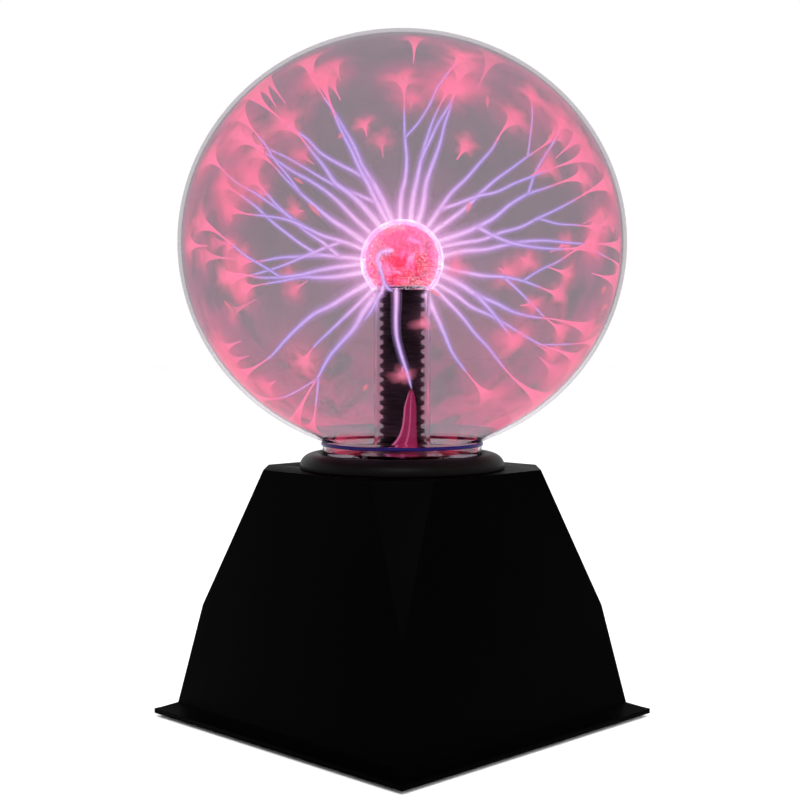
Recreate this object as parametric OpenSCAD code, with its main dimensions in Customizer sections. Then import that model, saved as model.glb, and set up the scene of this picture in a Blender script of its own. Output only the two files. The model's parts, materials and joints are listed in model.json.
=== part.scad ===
// Plasma ball: a sealed glass globe with an electrode on a re-entrant stem,
// standing on a faceted housing that holds its high-voltage driver board.
// Millimetres, +Z up. The origin is on the standing surface, under the globe's axis.
// The rear wall, with its control panel, faces +Y.

/* [Globe] */
// Widest diameter of the globe
globe_d = 200; // [160:1:240]
// Height of the globe's full ellipse, from pole to pole
globe_h = 189; // [150:1:230]
// Outer diameter of the neck
neck_d = 72; // [60:1:87]
// Length of the neck, from the globe to its cut end
neck_l = 23.1; // [20:0.1:30]
// Thickness of the glass
glass_t = 1.6; // [1:0.1:2.4]

/* [Stem] */
// Outer diameter of the stem tube
stem_d = 25.6; // [24.6:0.1:31]
// Outer diameter of the electrode bulb
bulb_d = 36.6; // [31:0.1:44]
// Thickness of the stem's glass
stem_t = 1.5; // [1:0.1:1.7]
// Height of the electrode's centre below the globe's centre
electrode_drop = 7; // [0:0.5:20]
// Depth of the stem's floor below the start of the neck
floor_drop = 4.2; // [4:0.1:7]
// Radius of the flare where the tube meets the floor
flare_r = 5; // [3:0.5:8]
// Diameter of the corrugated sleeve over its crests
sleeve_d = 20.4; // [17:0.1:20.6]
// Distance from one corrugation to the next
sleeve_pitch = 4.2; // [3.5:0.1:5]
// Depth of the corrugations
sleeve_groove = 1.6; // [1:0.1:2]

/* [Neck fittings] */
// Thickness of the blue band round the neck
band_t = 0.6; // [0.4:0.1:1]
// Height of the blue band
band_h = 1.6; // [1:0.1:3]
// Width of the collar's section
collar_w = 9.7; // [8:0.1:12]
// Height of the collar
collar_h = 6.8; // [6:0.1:10]
// Clearance between the neck and the collar
collar_gap = 0.5; // [0.3:0.1:1]
// Thickness of the gasket that the neck stands in
gasket_t = 1.3; // [1:0.1:2]

/* [Housing] */
// Side of the square foot flange
flange_w = 160; // [130:1:190]
// Thickness of the flange at its edge
flange_t = 2.2; // [1.8:0.1:3]
// Distance that the flange stands out from the walls
flange_lip = 7.7; // [6:0.1:10]
// Rise of the flange from its edge to the walls
skirt_h = 2.9; // [1:0.1:5]
// Height of the walls
body_h = 107.5; // [87:0.1:129]
// Wall thickness
wall_t = 2.4; // [2:0.1:3]
// Thickness of the top
top_t = 3; // [2.4:0.1:4]
// Flat border between the collar and the nearest top edge
top_margin = 6.6; // [4:0.1:9]
// Width of a corner facet at the top
facet_w = 26; // [20:0.5:31]
// Height of a corner facet, from the top down to its tip
facet_h = 63; // [50:1:77]
// Thickness of the bottom cover
cover_t = 2.4; // [2:0.1:3]

/* [Feet] */
// Diameter of a rubber foot
foot_d = 14; // [12:0.5:17]
// Height of a rubber foot
foot_h = 2.6; // [2.4:0.1:4]
// Depth of a foot's pocket in the cover
foot_sink = 1; // [0.8:0.1:1.2]

/* [Control panel] */
// Width of the panel
panel_w = 72; // [70:1:86]
// Height of the panel
panel_h = 26; // [22:1:31]
// Height of the panel's lower edge above the cover
panel_rise = 9; // [7:0.5:11]
// Thickness of the panel
panel_t = 2; // [1.6:0.1:2.4]
// Depth of the recess at the panel's upper edge
recess = 5; // [4:0.5:8]
// Bore of the power inlet
jack_bore_d = 5.7; // [5.5:0.1:6]
// Diameter of the inlet's centre pin
jack_pin_d = 2.1; // [2:0.1:2.5]
// Outer diameter of the inlet's threaded barrel
jack_d = 8; // [7.8:0.1:9]
// Travel of the switch from its middle position to each side
switch_travel = 2.5; // [2:0.1:3]

/* [Driver board] */
// Length of the board
board_w = 84; // [80:1:92]
// Depth of the board
board_d = 66; // [64:1:70]
// Thickness of the board
board_t = 1.6; // [1.2:0.1:2]
// Height of the standoffs under the board
standoff_h = 10; // [8:0.5:12]
// Outer diameter of the high-voltage coil
hv_coil_d = 30; // [26:0.5:32]
// Diameter of the high-voltage lead
lead_d = 4; // [3:0.1:5]

/* [Hidden] */
$fn = 96;

fit_gap = 0.3;        // clearance round a piece that drops into another
slide_gap = 0.3;      // clearance beside a piece that slides
eps = 0.01;           // overshoot of a cut through a face

// Heights, from the standing surface up
flange_z = foot_h - foot_sink;
walls_z = flange_z + flange_t + skirt_h;
top_z = walls_z + body_h;
cover_top = flange_z + cover_t;
board_z = cover_top + standoff_h;
parts_z = board_z + board_t;

// Outline of the housing
neck_r = neck_d / 2;
collar_bore_r = neck_r + collar_gap;
collar_r = collar_bore_r + collar_w;
top_half = collar_r + top_margin;
body_half = flange_w / 2 - flange_lip;
corner_top = top_half * sqrt(2) - facet_w / 2;
facet_z = top_z - facet_h;
function wall_half(z) = body_half - (body_half - top_half) * (z - walls_z) / body_h;
function corner_half(z) = corner_top + (top_z - z) * (wall_half(facet_z) * sqrt(2) - corner_top) / facet_h;

// Socket that the neck stands in
socket_r = neck_r + gasket_t;
socket_t = 2.2;
socket_depth = 13.2;
socket_floor_t = 2.4;
socket_hole_r = neck_r - 6;
socket_z = top_z - socket_depth;
gasket_floor_t = 2;
gasket_h = 10.6;
neck_end_z = socket_z + gasket_floor_t;

// Globe and stem
neck_z = neck_end_z + neck_l;
globe_r = globe_d / 2;
globe_z = neck_z + globe_h / 2 * sqrt(1 - pow(neck_r / globe_r, 2));
floor_z = neck_z - floor_drop;
floor_r = neck_r - glass_t;
electrode_z = globe_z - electrode_drop;
stem_r = stem_d / 2;
bulb_r = bulb_d / 2;
stem_bore_r = stem_r - stem_t;
globe_steps = 44;
arc_steps = 16;

// Inside the stem
sleeve_r = sleeve_d / 2;
sleeve_bore_r = sleeve_r - sleeve_groove - 1;
sleeve_z = floor_z - 10;
sleeve_turns = floor((electrode_z - 0.6 * bulb_r - sleeve_z) / sleeve_pitch);
sleeve_top = sleeve_z + sleeve_turns * sleeve_pitch;
core_gap = 0.4;
core_r = bulb_r - stem_t - core_gap;
core_z = sleeve_top + core_gap;
contact_r = 2.6;
contact_h = 7;
contact_end = 1;

// Screws: [diameter, length, head diameter, head height]
collar_screw = [2.2, 7.5, 4, 1.6];
bottom_screw = [3, 12, 5.6, 1.8];
panel_screw = [2.6, 7, 4.8, 1.6];
board_screw = [3, 7, 5.4, 1.8];
switch_screw = [2, 4.4, 3.6, 1.2];
hole_gap = 0.3;       // clearance round a screw where it passes freely
collar_screw_r = collar_bore_r + 5.8;

// Corner bosses and feet
boss_r = 4;
boss_z = cover_top + 24;
boss_xy = wall_half(boss_z) - wall_t - boss_r - 1.2;
screw_sink = 1.4;
foot_xy = boss_xy - foot_d / 2 - 5;

// Control panel
panel_z = cover_top + panel_rise + panel_h / 2;
panel_y = wall_half(panel_z + panel_h / 2) - recess;
panel_back = panel_y - panel_t;
frame_t = 2;
ledge_w = 9;
ledge_t = 6;
panel_screw_x = panel_w / 2 - ledge_w / 2;
jack_x = -19;
switch_x = 1;
mic_x = 20;
mic_d = 9.7;
mic_l = 6.5;
boot_t = 0.9;
mic_hole_d = 1.8;
jack_rim_t = 1.6;
jack_l = 11;
jack_depth = 9.4;
jack_tab_x = 2.4;       // offset of a solder tab from the inlet's axis
jack_tab_l = 4;
mic_lead_x = 1.27;

// Slide switch
bracket_t = 0.6;
switch_w = 17;
switch_h = 9;
switch_l = 7;
switch_wall = 1.4;
ear_w = 26;
ear_x = 11;
lever_w = 3.2;
lever_h = 3;
lever_out = 2.5;
slider_w = 8.6;
slider_t = 2.2;
terminal_pitch = 4;
terminal_l = 4;
slot_w = lever_w + 2 * (switch_travel + slide_gap);
slot_h = lever_h + 2 * slide_gap;
cavity_w = slider_w + 2 * (switch_travel + slide_gap);
cavity_h = switch_h - 2 * switch_wall;
cavity_t = slider_t + 2 * slide_gap;
switch_front = panel_back - bracket_t;

// Driver board
board_y = -7;
board_rear_y = board_y + board_d / 2;
board_hole_in = 4;
hv_x = -24;
hv_y = -21;
hv_way = norm([hv_x, hv_y]);    // from the globe's axis to the coil's
leg_w = 12;
leg_gap = 14;
core_t = 12;
core_h = 46;
window_h = core_h - 2 * leg_w;
coil_gap = 0.5;
hv_coil_h = window_h - 2 * coil_gap;
hv_coil_z = parts_z + leg_w + coil_gap;
primary_x = hv_x + leg_w + leg_gap;
primary_d = 19;
primary_h = hv_coil_h - 3;
lead_z = hv_coil_z + hv_coil_h / 2;
lead_bend = 9;
terminal_in = 2;      // reach of the coil's terminal towards the globe's axis
sink_x = 27;
sink_y = -25;
sink_w = 26;
sink_d = 14;
sink_h = 36;
sink_base = 3;
sink_fins = 7;
transistor = [10.2, 4.5, 15.5];
transistor_tab_t = 1.3;
transistor_hole_z = 13;
transistor_screw_size = [3, 4, 5.4, 1.8];
transistor_y = sink_y + sink_d / 2;
transistor_z = parts_z + 6;
wire_d = 1.5;
wire_bend = 5;

function arc(cx, cz, r, a0, a1, n = arc_steps) =
    [for (i = [0:n]) let (a = a0 + (a1 - a0) * i / n) [cx + r * cos(a), cz + r * sin(a)]];

// Points along an ellipse from its upper pole down to where its radius is r
function globe_arc(a, b, r) =
    [for (i = [0:globe_steps]) let (t = (180 - asin(r / a)) * i / globe_steps)
        [a * sin(t), globe_z + b * cos(t)]];

function reversed(list) = [for (i = [len(list) - 1:-1:0]) list[i]];

// ---- shared shapes ----

// A tapered block whose side faces lie on planes at the given half widths
module frustum(half0, half1, z0, z1, turns = [0, 90]) {
    reach = 2 * max(half0, half1) + 100;
    intersection_for (a = turns)
        rotate([90, 0, a])
            linear_extrude(height = reach, center = true)
                polygon([[-half0, z0], [half0, z0], [half1, z1], [-half1, z1]]);
}

// The housing's outline between two heights, with each face moved in by inset
module tapered_body(inset, z0, z1) {
    intersection() {
        frustum(wall_half(z0) - inset, wall_half(z1) - inset, z0, z1);
        frustum(corner_half(z0) - inset, corner_half(z1) - inset, z0, z1, [45, 135]);
    }
}

module ring(r_out, r_in, h) {
    difference() {
        cylinder(r = r_out, h = h);
        translate([0, 0, -eps]) cylinder(r = r_in, h = h + 2 * eps);
    }
}

// A screw whose head sits on z = 0 and whose thread points down
module screw(size) {
    cross = size[2] * 0.55;
    difference() {
        union() {
            translate([0, 0, -size[1]]) cylinder(d = size[0], h = size[1] + eps);
            cylinder(d1 = size[2], d2 = size[2] * 0.8, h = size[3]);
        }
        for (a = [0, 90]) rotate(a)
            translate([-cross / 2, -cross / 10, size[3] * 0.4]) cube([cross, cross / 5, size[3]]);
    }
}

// Places children at the four corners of a rectangle
module at_corners(x, y) {
    for (i = [-1, 1], j = [-1, 1]) translate([i * x, j * y, 0]) children();
}

// Places children on the panel's front face, with z pointing out of the housing
module on_panel(x, y = panel_y) {
    translate([x, y, panel_z]) rotate([-90, 0, 0]) children();
}

// A quarter turn of a round lead, from the +x side of its centre to the +y side
module elbow(bend, d) {
    rotate_extrude(angle = 90) translate([bend, 0]) circle(d = d, $fn = 32);
}

// A wire that leaves a part behind the panel and bends down to the board
module panel_wire(x, y0, y1) {
    run = y0 - y1 - wire_bend;
    drop = panel_z - parts_z - wire_bend;
    translate([x, y1, panel_z]) {
        translate([0, wire_bend, 0]) rotate([-90, 0, 0]) cylinder(d = wire_d, h = run, $fn = 32);
        translate([0, wire_bend, -wire_bend]) rotate([90, 0, -90]) elbow(wire_bend, wire_d);
        translate([0, 0, -wire_bend - drop]) cylinder(d = wire_d, h = drop, $fn = 32);
    }
}

// ---- globe, stem and electrode ----

module glass_globe() {
    in_a = globe_r - glass_t;
    in_b = globe_h / 2 - glass_t;
    in_r = neck_r - glass_t;
    color([0.55, 0.45, 0.52, 0.3])
        rotate_extrude()
            polygon(concat(
                globe_arc(globe_r, globe_h / 2, neck_r),
                [[neck_r, neck_end_z], [in_r, neck_end_z]],
                reversed(globe_arc(in_a, in_b, in_r))));
}

module stem_glass() {
    in_bulb = bulb_r - stem_t;
    bulb_from = -acos(stem_r / bulb_r);
    in_from = -acos(stem_bore_r / in_bulb);
    tip_r = 3;
    tip_h = 9;
    tip_x = (stem_r + floor_r) / 2;
    color([0.75, 0.7, 0.78, 0.3]) {
        rotate_extrude()
            polygon(concat(
                [[floor_r, floor_z]],
                arc(stem_r + flare_r, floor_z + flare_r, flare_r, 270, 180),
                arc(0, electrode_z, bulb_r, bulb_from, 90, 2 * arc_steps),
                arc(0, electrode_z, in_bulb, 90, in_from, 2 * arc_steps),
                arc(stem_r + flare_r, floor_z + flare_r, flare_r + stem_t, 180, 270),
                [[floor_r, floor_z - stem_t]]));
        // sealed exhaust tip
        translate([tip_x, 0, floor_z - stem_t - tip_h]) {
            cylinder(r = tip_r, h = tip_h + eps);
            sphere(r = tip_r);
        }
    }
}

module electrode_core() {
    color([0.9, 0.25, 0.35])
        difference() {
            translate([0, 0, electrode_z]) sphere(r = core_r);
            translate([0, 0, core_z - 2 * core_r]) cylinder(r = 2 * core_r, h = 2 * core_r);
        }
}

module electrode_contact() {
    color("gold")
        translate([0, 0, core_z - contact_h])
            difference() {
                cylinder(r = contact_r, h = contact_h);
                translate([0, 0, -eps]) cylinder(d = lead_d, h = contact_h - contact_end + eps);
            }
}

module corrugated_sleeve() {
    // one corrugation: share of the pitch, share of the groove's depth
    wave = [[0.06, 1], [0.17, 0.45], [0.3, 0.05], [0.5, 0], [0.7, 0.05], [0.83, 0.45], [0.94, 1]];
    color([0.08, 0.08, 0.09])
        rotate_extrude()
            polygon(concat(
                [[sleeve_bore_r, sleeve_z], [sleeve_r - sleeve_groove, sleeve_z]],
                [for (i = [0:sleeve_turns - 1], w = wave)
                    [sleeve_r - w[1] * sleeve_groove, sleeve_z + (i + w[0]) * sleeve_pitch]],
                [[sleeve_r - sleeve_groove, sleeve_top], [sleeve_bore_r, sleeve_top]]));
}

// The lead leaves the coil towards the globe's axis, then turns up through the stem
module hv_lead() {
    start = hv_way - hv_coil_d / 2 - terminal_in;
    end_z = core_z - contact_end;
    color([0.75, 0.1, 0.1])
        rotate([0, 0, atan2(hv_y, hv_x)]) {
            translate([lead_bend, 0, lead_z]) rotate([0, 90, 0])
                cylinder(d = lead_d, h = start - lead_bend);
            translate([lead_bend, 0, lead_z + lead_bend]) rotate([-90, 0, 180]) elbow(lead_bend, lead_d);
            translate([0, 0, lead_z + lead_bend]) cylinder(d = lead_d, h = end_z - lead_z - lead_bend);
        }
}

module stem_grommet() {
    rim_r = stem_r + 2.4;
    rim_h = 7;
    spigot_h = 5;
    bore_r = sleeve_r + 0.1;
    z = floor_z - stem_t;
    color([0.15, 0.15, 0.16])
        difference() {
            union() {
                translate([0, 0, z - rim_h]) cylinder(r = rim_r, h = rim_h);
                translate([0, 0, z - eps]) cylinder(r = stem_bore_r - 0.1, h = spigot_h);
            }
            translate([0, 0, z - rim_h - eps]) cylinder(r = bore_r, h = rim_h + spigot_h + 1);
        }
}

// ---- neck fittings ----

module neck_band() {
    z = neck_z - 1 - band_h;
    color([0.16, 0.1, 0.6])
        translate([0, 0, z + band_h / 2])
            ring(neck_r + band_t, neck_r, band_h);
}

module neck_gasket() {
    lip_in = 2.5;
    color([0.2, 0.2, 0.2])
        translate([0, 0, socket_z])
            difference() {
                cylinder(r = socket_r, h = gasket_h);
                translate([0, 0, -eps]) cylinder(r = neck_r - lip_in, h = gasket_h + 1);
                translate([0, 0, gasket_floor_t]) cylinder(r = neck_r, h = gasket_h);
            }
}

module collar_ring() {
    edge = 1.2;
    lead_in = 2.8;
    rise = collar_h - edge;
    run = collar_w - lead_in;
    color([0.1, 0.1, 0.1])
        translate([0, 0, top_z])
            difference() {
                rotate_extrude()
                    polygon(concat(
                        [[collar_bore_r, 0], [collar_r, 0]],
                        [for (i = [0:arc_steps]) let (a = 90 * i / arc_steps)
                            [collar_r - run + run * cos(a), edge + rise * sin(a)]],
                        [[collar_bore_r, collar_h - lead_in]]));
                for (a = [45:90:315]) rotate(a)
                    translate([collar_screw_r, 0, -eps])
                        cylinder(d = collar_screw[0], h = collar_screw[1] - top_t + 0.4);
            }
}

module collar_screws() {
    color("silver")
        for (a = [45:90:315]) rotate(a)
            translate([collar_screw_r, 0, top_z - top_t]) mirror([0, 0, 1]) screw(collar_screw);
}

// ---- housing ----

// A boss for a bottom screw, tied to both walls of its corner
module corner_boss() {
    web_t = 2;
    h = boss_z - cover_top;
    translate([boss_xy, boss_xy, cover_top]) {
        cylinder(r = boss_r, h = h);
        translate([0, -web_t / 2, 0]) cube([3 * boss_r, web_t, h]);
        translate([-web_t / 2, 0, 0]) cube([web_t, 3 * boss_r, h]);
    }
}

module base_shell() {
    frame_w = panel_w + 2 * (fit_gap + frame_t);
    frame_h = panel_h + 2 * (fit_gap + frame_t);
    ledge_y = panel_back - ledge_t;
    opening_h = panel_h - 2 * frame_t;
    reach = 40;
    color([0.09, 0.09, 0.09])
        difference() {
            union() {
                // walls and top
                difference() {
                    tapered_body(0, walls_z - 1, top_z);
                    tapered_body(wall_t, walls_z - 2, top_z - top_t);
                }
                // flange, hollow inside the walls
                difference() {
                    union() {
                        translate([-flange_w / 2, -flange_w / 2, flange_z]) cube([flange_w, flange_w, flange_t]);
                        frustum(flange_w / 2 - 0.6, body_half, flange_z + flange_t - eps, walls_z);
                    }
                    tapered_body(wall_t, flange_z - 1, walls_z + 1);
                }
                // bosses and the panel's frame, kept inside the walls
                intersection() {
                    tapered_body(wall_t / 2, flange_z, top_z - top_t / 2);
                    union() {
                        for (a = [0:90:270]) rotate(a) corner_boss();
                        translate([-frame_w / 2, ledge_y, panel_z - frame_h / 2])
                            cube([frame_w, reach, frame_h]);
                    }
                }
                // socket for the neck
                translate([0, 0, socket_z - socket_floor_t])
                    cylinder(r = socket_r + socket_t, h = top_z - top_t / 2 - socket_z + socket_floor_t);
            }
            translate([0, 0, socket_z]) cylinder(r = socket_r, h = socket_depth + 1);
            translate([0, 0, socket_z - socket_floor_t - 1]) cylinder(r = socket_hole_r, h = socket_depth);
            // pocket for the panel, open to the rear, and the window behind it
            translate([-panel_w / 2 - fit_gap, panel_back, panel_z - panel_h / 2 - fit_gap])
                cube([panel_w + 2 * fit_gap, reach, panel_h + 2 * fit_gap]);
            translate([-panel_w / 2 + ledge_w, ledge_y - 1, panel_z - opening_h / 2])
                cube([panel_w - 2 * ledge_w, ledge_t + 2, opening_h]);
            // screw holes
            for (s = [-1, 1]) on_panel(s * panel_screw_x, panel_back + eps)
                mirror([0, 0, 1]) cylinder(d = panel_screw[0], h = panel_screw[1] - panel_t + 0.4);
            at_corners(boss_xy, boss_xy)
                translate([0, 0, cover_top - eps]) cylinder(d = bottom_screw[0], h = bottom_screw[1]);
            for (a = [45:90:315]) rotate(a)
                translate([collar_screw_r, 0, top_z - top_t - 1])
                    cylinder(d = collar_screw[0] + hole_gap, h = top_t + 2);
        }
}

module bottom_cover() {
    half = wall_half(cover_top) - wall_t - fit_gap;
    standoff_r = 3;
    vent = [30, 3];
    vent_pitch = 9;
    hole_x = board_w / 2 - board_hole_in;
    hole_y = board_d / 2 - board_hole_in;
    color([0.12, 0.12, 0.12])
        difference() {
            union() {
                translate([-half, -half, flange_z]) cube([2 * half, 2 * half, cover_t]);
                translate([0, board_y, cover_top - eps])
                    at_corners(hole_x, hole_y) cylinder(r = standoff_r, h = standoff_h + eps);
            }
            at_corners(boss_xy, boss_xy) {
                translate([0, 0, flange_z - 1]) cylinder(d = bottom_screw[0] + hole_gap, h = cover_t + 2);
                translate([0, 0, flange_z - 1]) cylinder(d = bottom_screw[2] + 0.6, h = 1 + screw_sink);
            }
            at_corners(foot_xy, foot_xy)
                translate([0, 0, flange_z - 1]) cylinder(d = foot_d + fit_gap, h = 1 + foot_sink);
            translate([0, board_y, board_z - board_screw[1]])
                at_corners(hole_x, hole_y) cylinder(d = board_screw[0], h = board_screw[1] + 1);
            for (i = [-2:2]) translate([-vent[0] / 2, i * vent_pitch - vent[1] / 2, flange_z - 1])
                cube([vent[0], vent[1], cover_t + 2]);
        }
}

module bottom_screws() {
    color("silver")
        at_corners(boss_xy, boss_xy)
            translate([0, 0, flange_z + screw_sink]) mirror([0, 0, 1]) screw(bottom_screw);
}

module foot(i, j) {
    color([0.18, 0.18, 0.18])
        translate([i * foot_xy, j * foot_xy, 0])
            cylinder(d1 = foot_d - 1, d2 = foot_d, h = foot_h);
}

// ---- control panel ----

module rear_panel() {
    color([0.16, 0.16, 0.16])
        difference() {
            translate([-panel_w / 2, panel_back, panel_z - panel_h / 2]) cube([panel_w, panel_t, panel_h]);
            for (s = [-1, 1]) on_panel(s * panel_screw_x, panel_back - 1)
                cylinder(d = panel_screw[0] + hole_gap, h = panel_t + 2);
            on_panel(jack_x, panel_back - 1) cylinder(d = jack_d + 0.2, h = panel_t + 2);
            on_panel(mic_x, panel_back - 1) cylinder(d = mic_hole_d, h = panel_t + 2);
            for (s = [-1, 1]) on_panel(switch_x + s * ear_x, panel_back - 1)
                cylinder(d = switch_screw[0] + hole_gap, h = panel_t + 2);
            translate([switch_x - slot_w / 2, panel_back - 1, panel_z - slot_h / 2])
                cube([slot_w, panel_t + 2, slot_h]);
        }
}

module panel_screws() {
    color("silver") for (s = [-1, 1]) on_panel(s * panel_screw_x) screw(panel_screw);
}

module dc_jack() {
    tab = [1.8, jack_tab_l + 0.2, 0.5];
    color([0.14, 0.14, 0.14])
        difference() {
            union() {
                on_panel(jack_x) cylinder(d = jack_d + 3, h = jack_rim_t);
                on_panel(jack_x, panel_y - jack_l) cylinder(d = jack_d, h = jack_l + eps);
                // solder tabs
                for (s = [-1, 1])
                    translate([jack_x + s * jack_tab_x - tab[0] / 2, panel_y - jack_l - jack_tab_l,
                               panel_z - tab[2] / 2])
                        cube(tab);
            }
            on_panel(jack_x, panel_y + jack_rim_t - jack_depth)
                cylinder(d = jack_bore_d, h = jack_depth + 1);
        }
}

module dc_jack_pin() {
    short = 0.6;
    color("silver")
        on_panel(jack_x, panel_y + jack_rim_t - jack_depth)
            cylinder(d = jack_pin_d, h = jack_depth - short);
}

module dc_jack_nut() {
    nut_h = 2.4;
    color("silver")
        on_panel(jack_x, panel_back - nut_h)
            difference() {
                cylinder(d = jack_d + 4.2, h = nut_h, $fn = 6);
                translate([0, 0, -eps]) cylinder(d = jack_d, h = nut_h + 2 * eps);
            }
}

module switch_body() {
    back = switch_front - switch_l;
    color([0.1, 0.1, 0.12])
        difference() {
            translate([switch_x - switch_w / 2, back, panel_z - switch_h / 2])
                cube([switch_w, switch_l, switch_h]);
            translate([switch_x - cavity_w / 2, switch_front - cavity_t, panel_z - cavity_h / 2])
                cube([cavity_w, cavity_t + 1, cavity_h]);
        }
}

module switch_bracket() {
    color("silver")
        difference() {
            translate([switch_x - ear_w / 2, switch_front, panel_z - switch_h / 2])
                cube([ear_w, bracket_t, switch_h]);
            translate([switch_x - slot_w / 2, switch_front - 1, panel_z - slot_h / 2])
                cube([slot_w, bracket_t + 2, slot_h]);
            for (s = [-1, 1]) on_panel(switch_x + s * ear_x, switch_front - 1)
                cylinder(d = switch_screw[0], h = bracket_t + 2);
        }
}

module switch_lever() {
    slider_y = switch_front - slide_gap - slider_t;
    slider_h = cavity_h - 2 * slide_gap;
    length = panel_y + lever_out - slider_y - slider_t;
    grooves = 3;
    groove_w = 0.4;
    groove_pitch = 0.9;
    tip_y = panel_y + lever_out;
    color([0.85, 0.85, 0.85])
        difference() {
            union() {
                translate([switch_x - slider_w / 2, slider_y, panel_z - slider_h / 2])
                    cube([slider_w, slider_t, slider_h]);
                translate([switch_x - lever_w / 2, slider_y + slider_t - eps, panel_z - lever_h / 2])
                    cube([lever_w, length + eps, lever_h]);
            }
            // grip grooves across the tip
            for (i = [0:grooves - 1])
                translate([switch_x + (i - (grooves - 1) / 2) * groove_pitch - groove_w / 2,
                           tip_y - groove_w, panel_z - lever_h])
                    cube([groove_w, 1, 2 * lever_h]);
        }
}

module switch_terminals() {
    back = switch_front - switch_l;
    pin = [1.2, terminal_l, 0.5];
    row_z = 2.2;
    color("silver")
        for (i = [-1:1], s = [-1, 1])
            translate([switch_x + i * terminal_pitch - pin[0] / 2, back - pin[1], panel_z + s * row_z - pin[2] / 2])
                cube(pin);
}

module switch_screws() {
    color("silver") for (s = [-1, 1]) on_panel(switch_x + s * ear_x) screw(switch_screw);
}

module microphone() {
    color("silver")
        on_panel(mic_x, panel_back - mic_l)
            cylinder(d = mic_d, h = mic_l);
}

module microphone_boot() {
    color([0.15, 0.15, 0.15])
        on_panel(mic_x, panel_back - mic_l + 0.5)
            ring(mic_d / 2 + boot_t, mic_d / 2, mic_l - 0.5);
}

// ---- driver board ----

module circuit_board() {
    color([0.1, 0.4, 0.2])
        translate([0, board_y, board_z])
            difference() {
                translate([-board_w / 2, -board_d / 2, 0]) cube([board_w, board_d, board_t]);
                at_corners(board_w / 2 - board_hole_in, board_d / 2 - board_hole_in)
                    translate([0, 0, -1]) cylinder(d = board_screw[0] + hole_gap, h = board_t + 2);
            }
}

module board_screws() {
    color("silver")
        translate([0, board_y, parts_z])
            at_corners(board_w / 2 - board_hole_in, board_d / 2 - board_hole_in) screw(board_screw);
}

module ferrite_core() {
    w = 2 * leg_w + leg_gap;
    color([0.25, 0.25, 0.27])
        translate([hv_x - leg_w / 2, hv_y - core_t / 2, parts_z])
            difference() {
                cube([w, core_t, core_h]);
                translate([leg_w, -1, leg_w]) cube([leg_gap, core_t + 2, window_h]);
            }
}

// A winding on a square core leg
module winding(x, d, h, z) {
    bore = leg_w * sqrt(2) + 0.4;
    translate([x, hv_y, z])
        difference() {
            cylinder(d = d, h = h);
            translate([0, 0, -eps]) cylinder(d = bore, h = h + 2 * eps);
        }
}

module hv_coil() {
    terminal = [3, 7, 7];
    color([0.12, 0.12, 0.14]) {
        winding(hv_x, hv_coil_d, hv_coil_h, hv_coil_z);
        // terminal that holds the high-voltage lead
        rotate([0, 0, atan2(hv_y, hv_x)])
            translate([hv_way - hv_coil_d / 2 - terminal_in, -terminal[1] / 2, lead_z - terminal[2] / 2])
                cube(terminal);
    }
}

module primary_coil() {
    color([0.72, 0.4, 0.15])
        winding(primary_x, primary_d, primary_h, hv_coil_z + (hv_coil_h - primary_h) / 2);
}

module heat_sink() {
    fin_t = 1.4;
    fin_pitch = (sink_w - fin_t) / (sink_fins - 1);
    color([0.75, 0.76, 0.78])
        translate([sink_x - sink_w / 2, sink_y - sink_d / 2, parts_z])
            difference() {
                union() {
                    translate([0, sink_d - sink_base, 0]) cube([sink_w, sink_base, sink_h]);
                    for (i = [0:sink_fins - 1]) translate([i * fin_pitch, 0, 0])
                        cube([fin_t, sink_d - sink_base + eps, sink_h]);
                }
                translate([sink_w / 2, sink_d + eps, transistor_z - parts_z + transistor_hole_z])
                    rotate([90, 0, 0]) cylinder(d = transistor_screw_size[0], h = sink_base);
            }
}

module power_transistor() {
    case_h = 9.2;
    leg = [0.8, 0.6, transistor_z - parts_z];
    leg_pitch = 2.54;
    color([0.1, 0.1, 0.1])
        translate([sink_x - transistor[0] / 2, transistor_y, transistor_z])
            difference() {
                union() {
                    cube([transistor[0], transistor[1], case_h]);
                    cube([transistor[0], transistor_tab_t, transistor[2]]);
                    for (i = [-1:1]) translate([transistor[0] / 2 + i * leg_pitch - leg[0] / 2, 2, -leg[2]])
                        cube([leg[0], leg[1], leg[2] + 1]);
                }
                translate([transistor[0] / 2, transistor_tab_t + 1, transistor_hole_z]) rotate([90, 0, 0])
                    cylinder(d = transistor_screw_size[0] + 0.4, h = transistor_tab_t + 2);
            }
}

module transistor_screw() {
    color("silver")
        translate([sink_x, transistor_y + transistor_tab_t, transistor_z + transistor_hole_z])
            rotate([-90, 0, 0]) screw(transistor_screw_size);
}

module capacitors() {
    // [x, diameter, height]
    cans = [[-31, 13, 20], [-17, 10, 16]];
    can_y = 13;
    color([0.1, 0.12, 0.3])
        for (can = cans) translate([can[0], can_y, parts_z]) cylinder(d = can[1], h = can[2]);
}

module fuse() {
    fuse_l = 20;
    fuse_d = 5.2;
    clip = [2, 6.4, 7];
    clip_in = 1;
    lift = 4;
    place = [-5, 19];
    color([0.8, 0.8, 0.75])
        translate([place[0], place[1], parts_z + lift]) {
            rotate([0, 90, 0]) cylinder(d = fuse_d, h = fuse_l);
            for (x = [clip_in, fuse_l - clip[0] - clip_in]) translate([x, -clip[1] / 2, -lift]) cube(clip);
        }
}

module resistors() {
    body = [2.5, 7];
    lead = 0.7;
    span = 12;
    lift = 3;
    row_x = 26;
    color([0.75, 0.65, 0.45])
        for (y = [5, 11, 17]) translate([row_x, y, parts_z + lift]) {
            rotate([0, 90, 0]) cylinder(d = body[0], h = body[1], center = true, $fn = 32);
            rotate([0, 90, 0]) cylinder(d = lead, h = span, center = true, $fn = 24);
            for (s = [-1, 1]) translate([s * span / 2, 0, -lift])
                cylinder(d = lead, h = lift + lead / 2, $fn = 24);
        }
}

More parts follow.
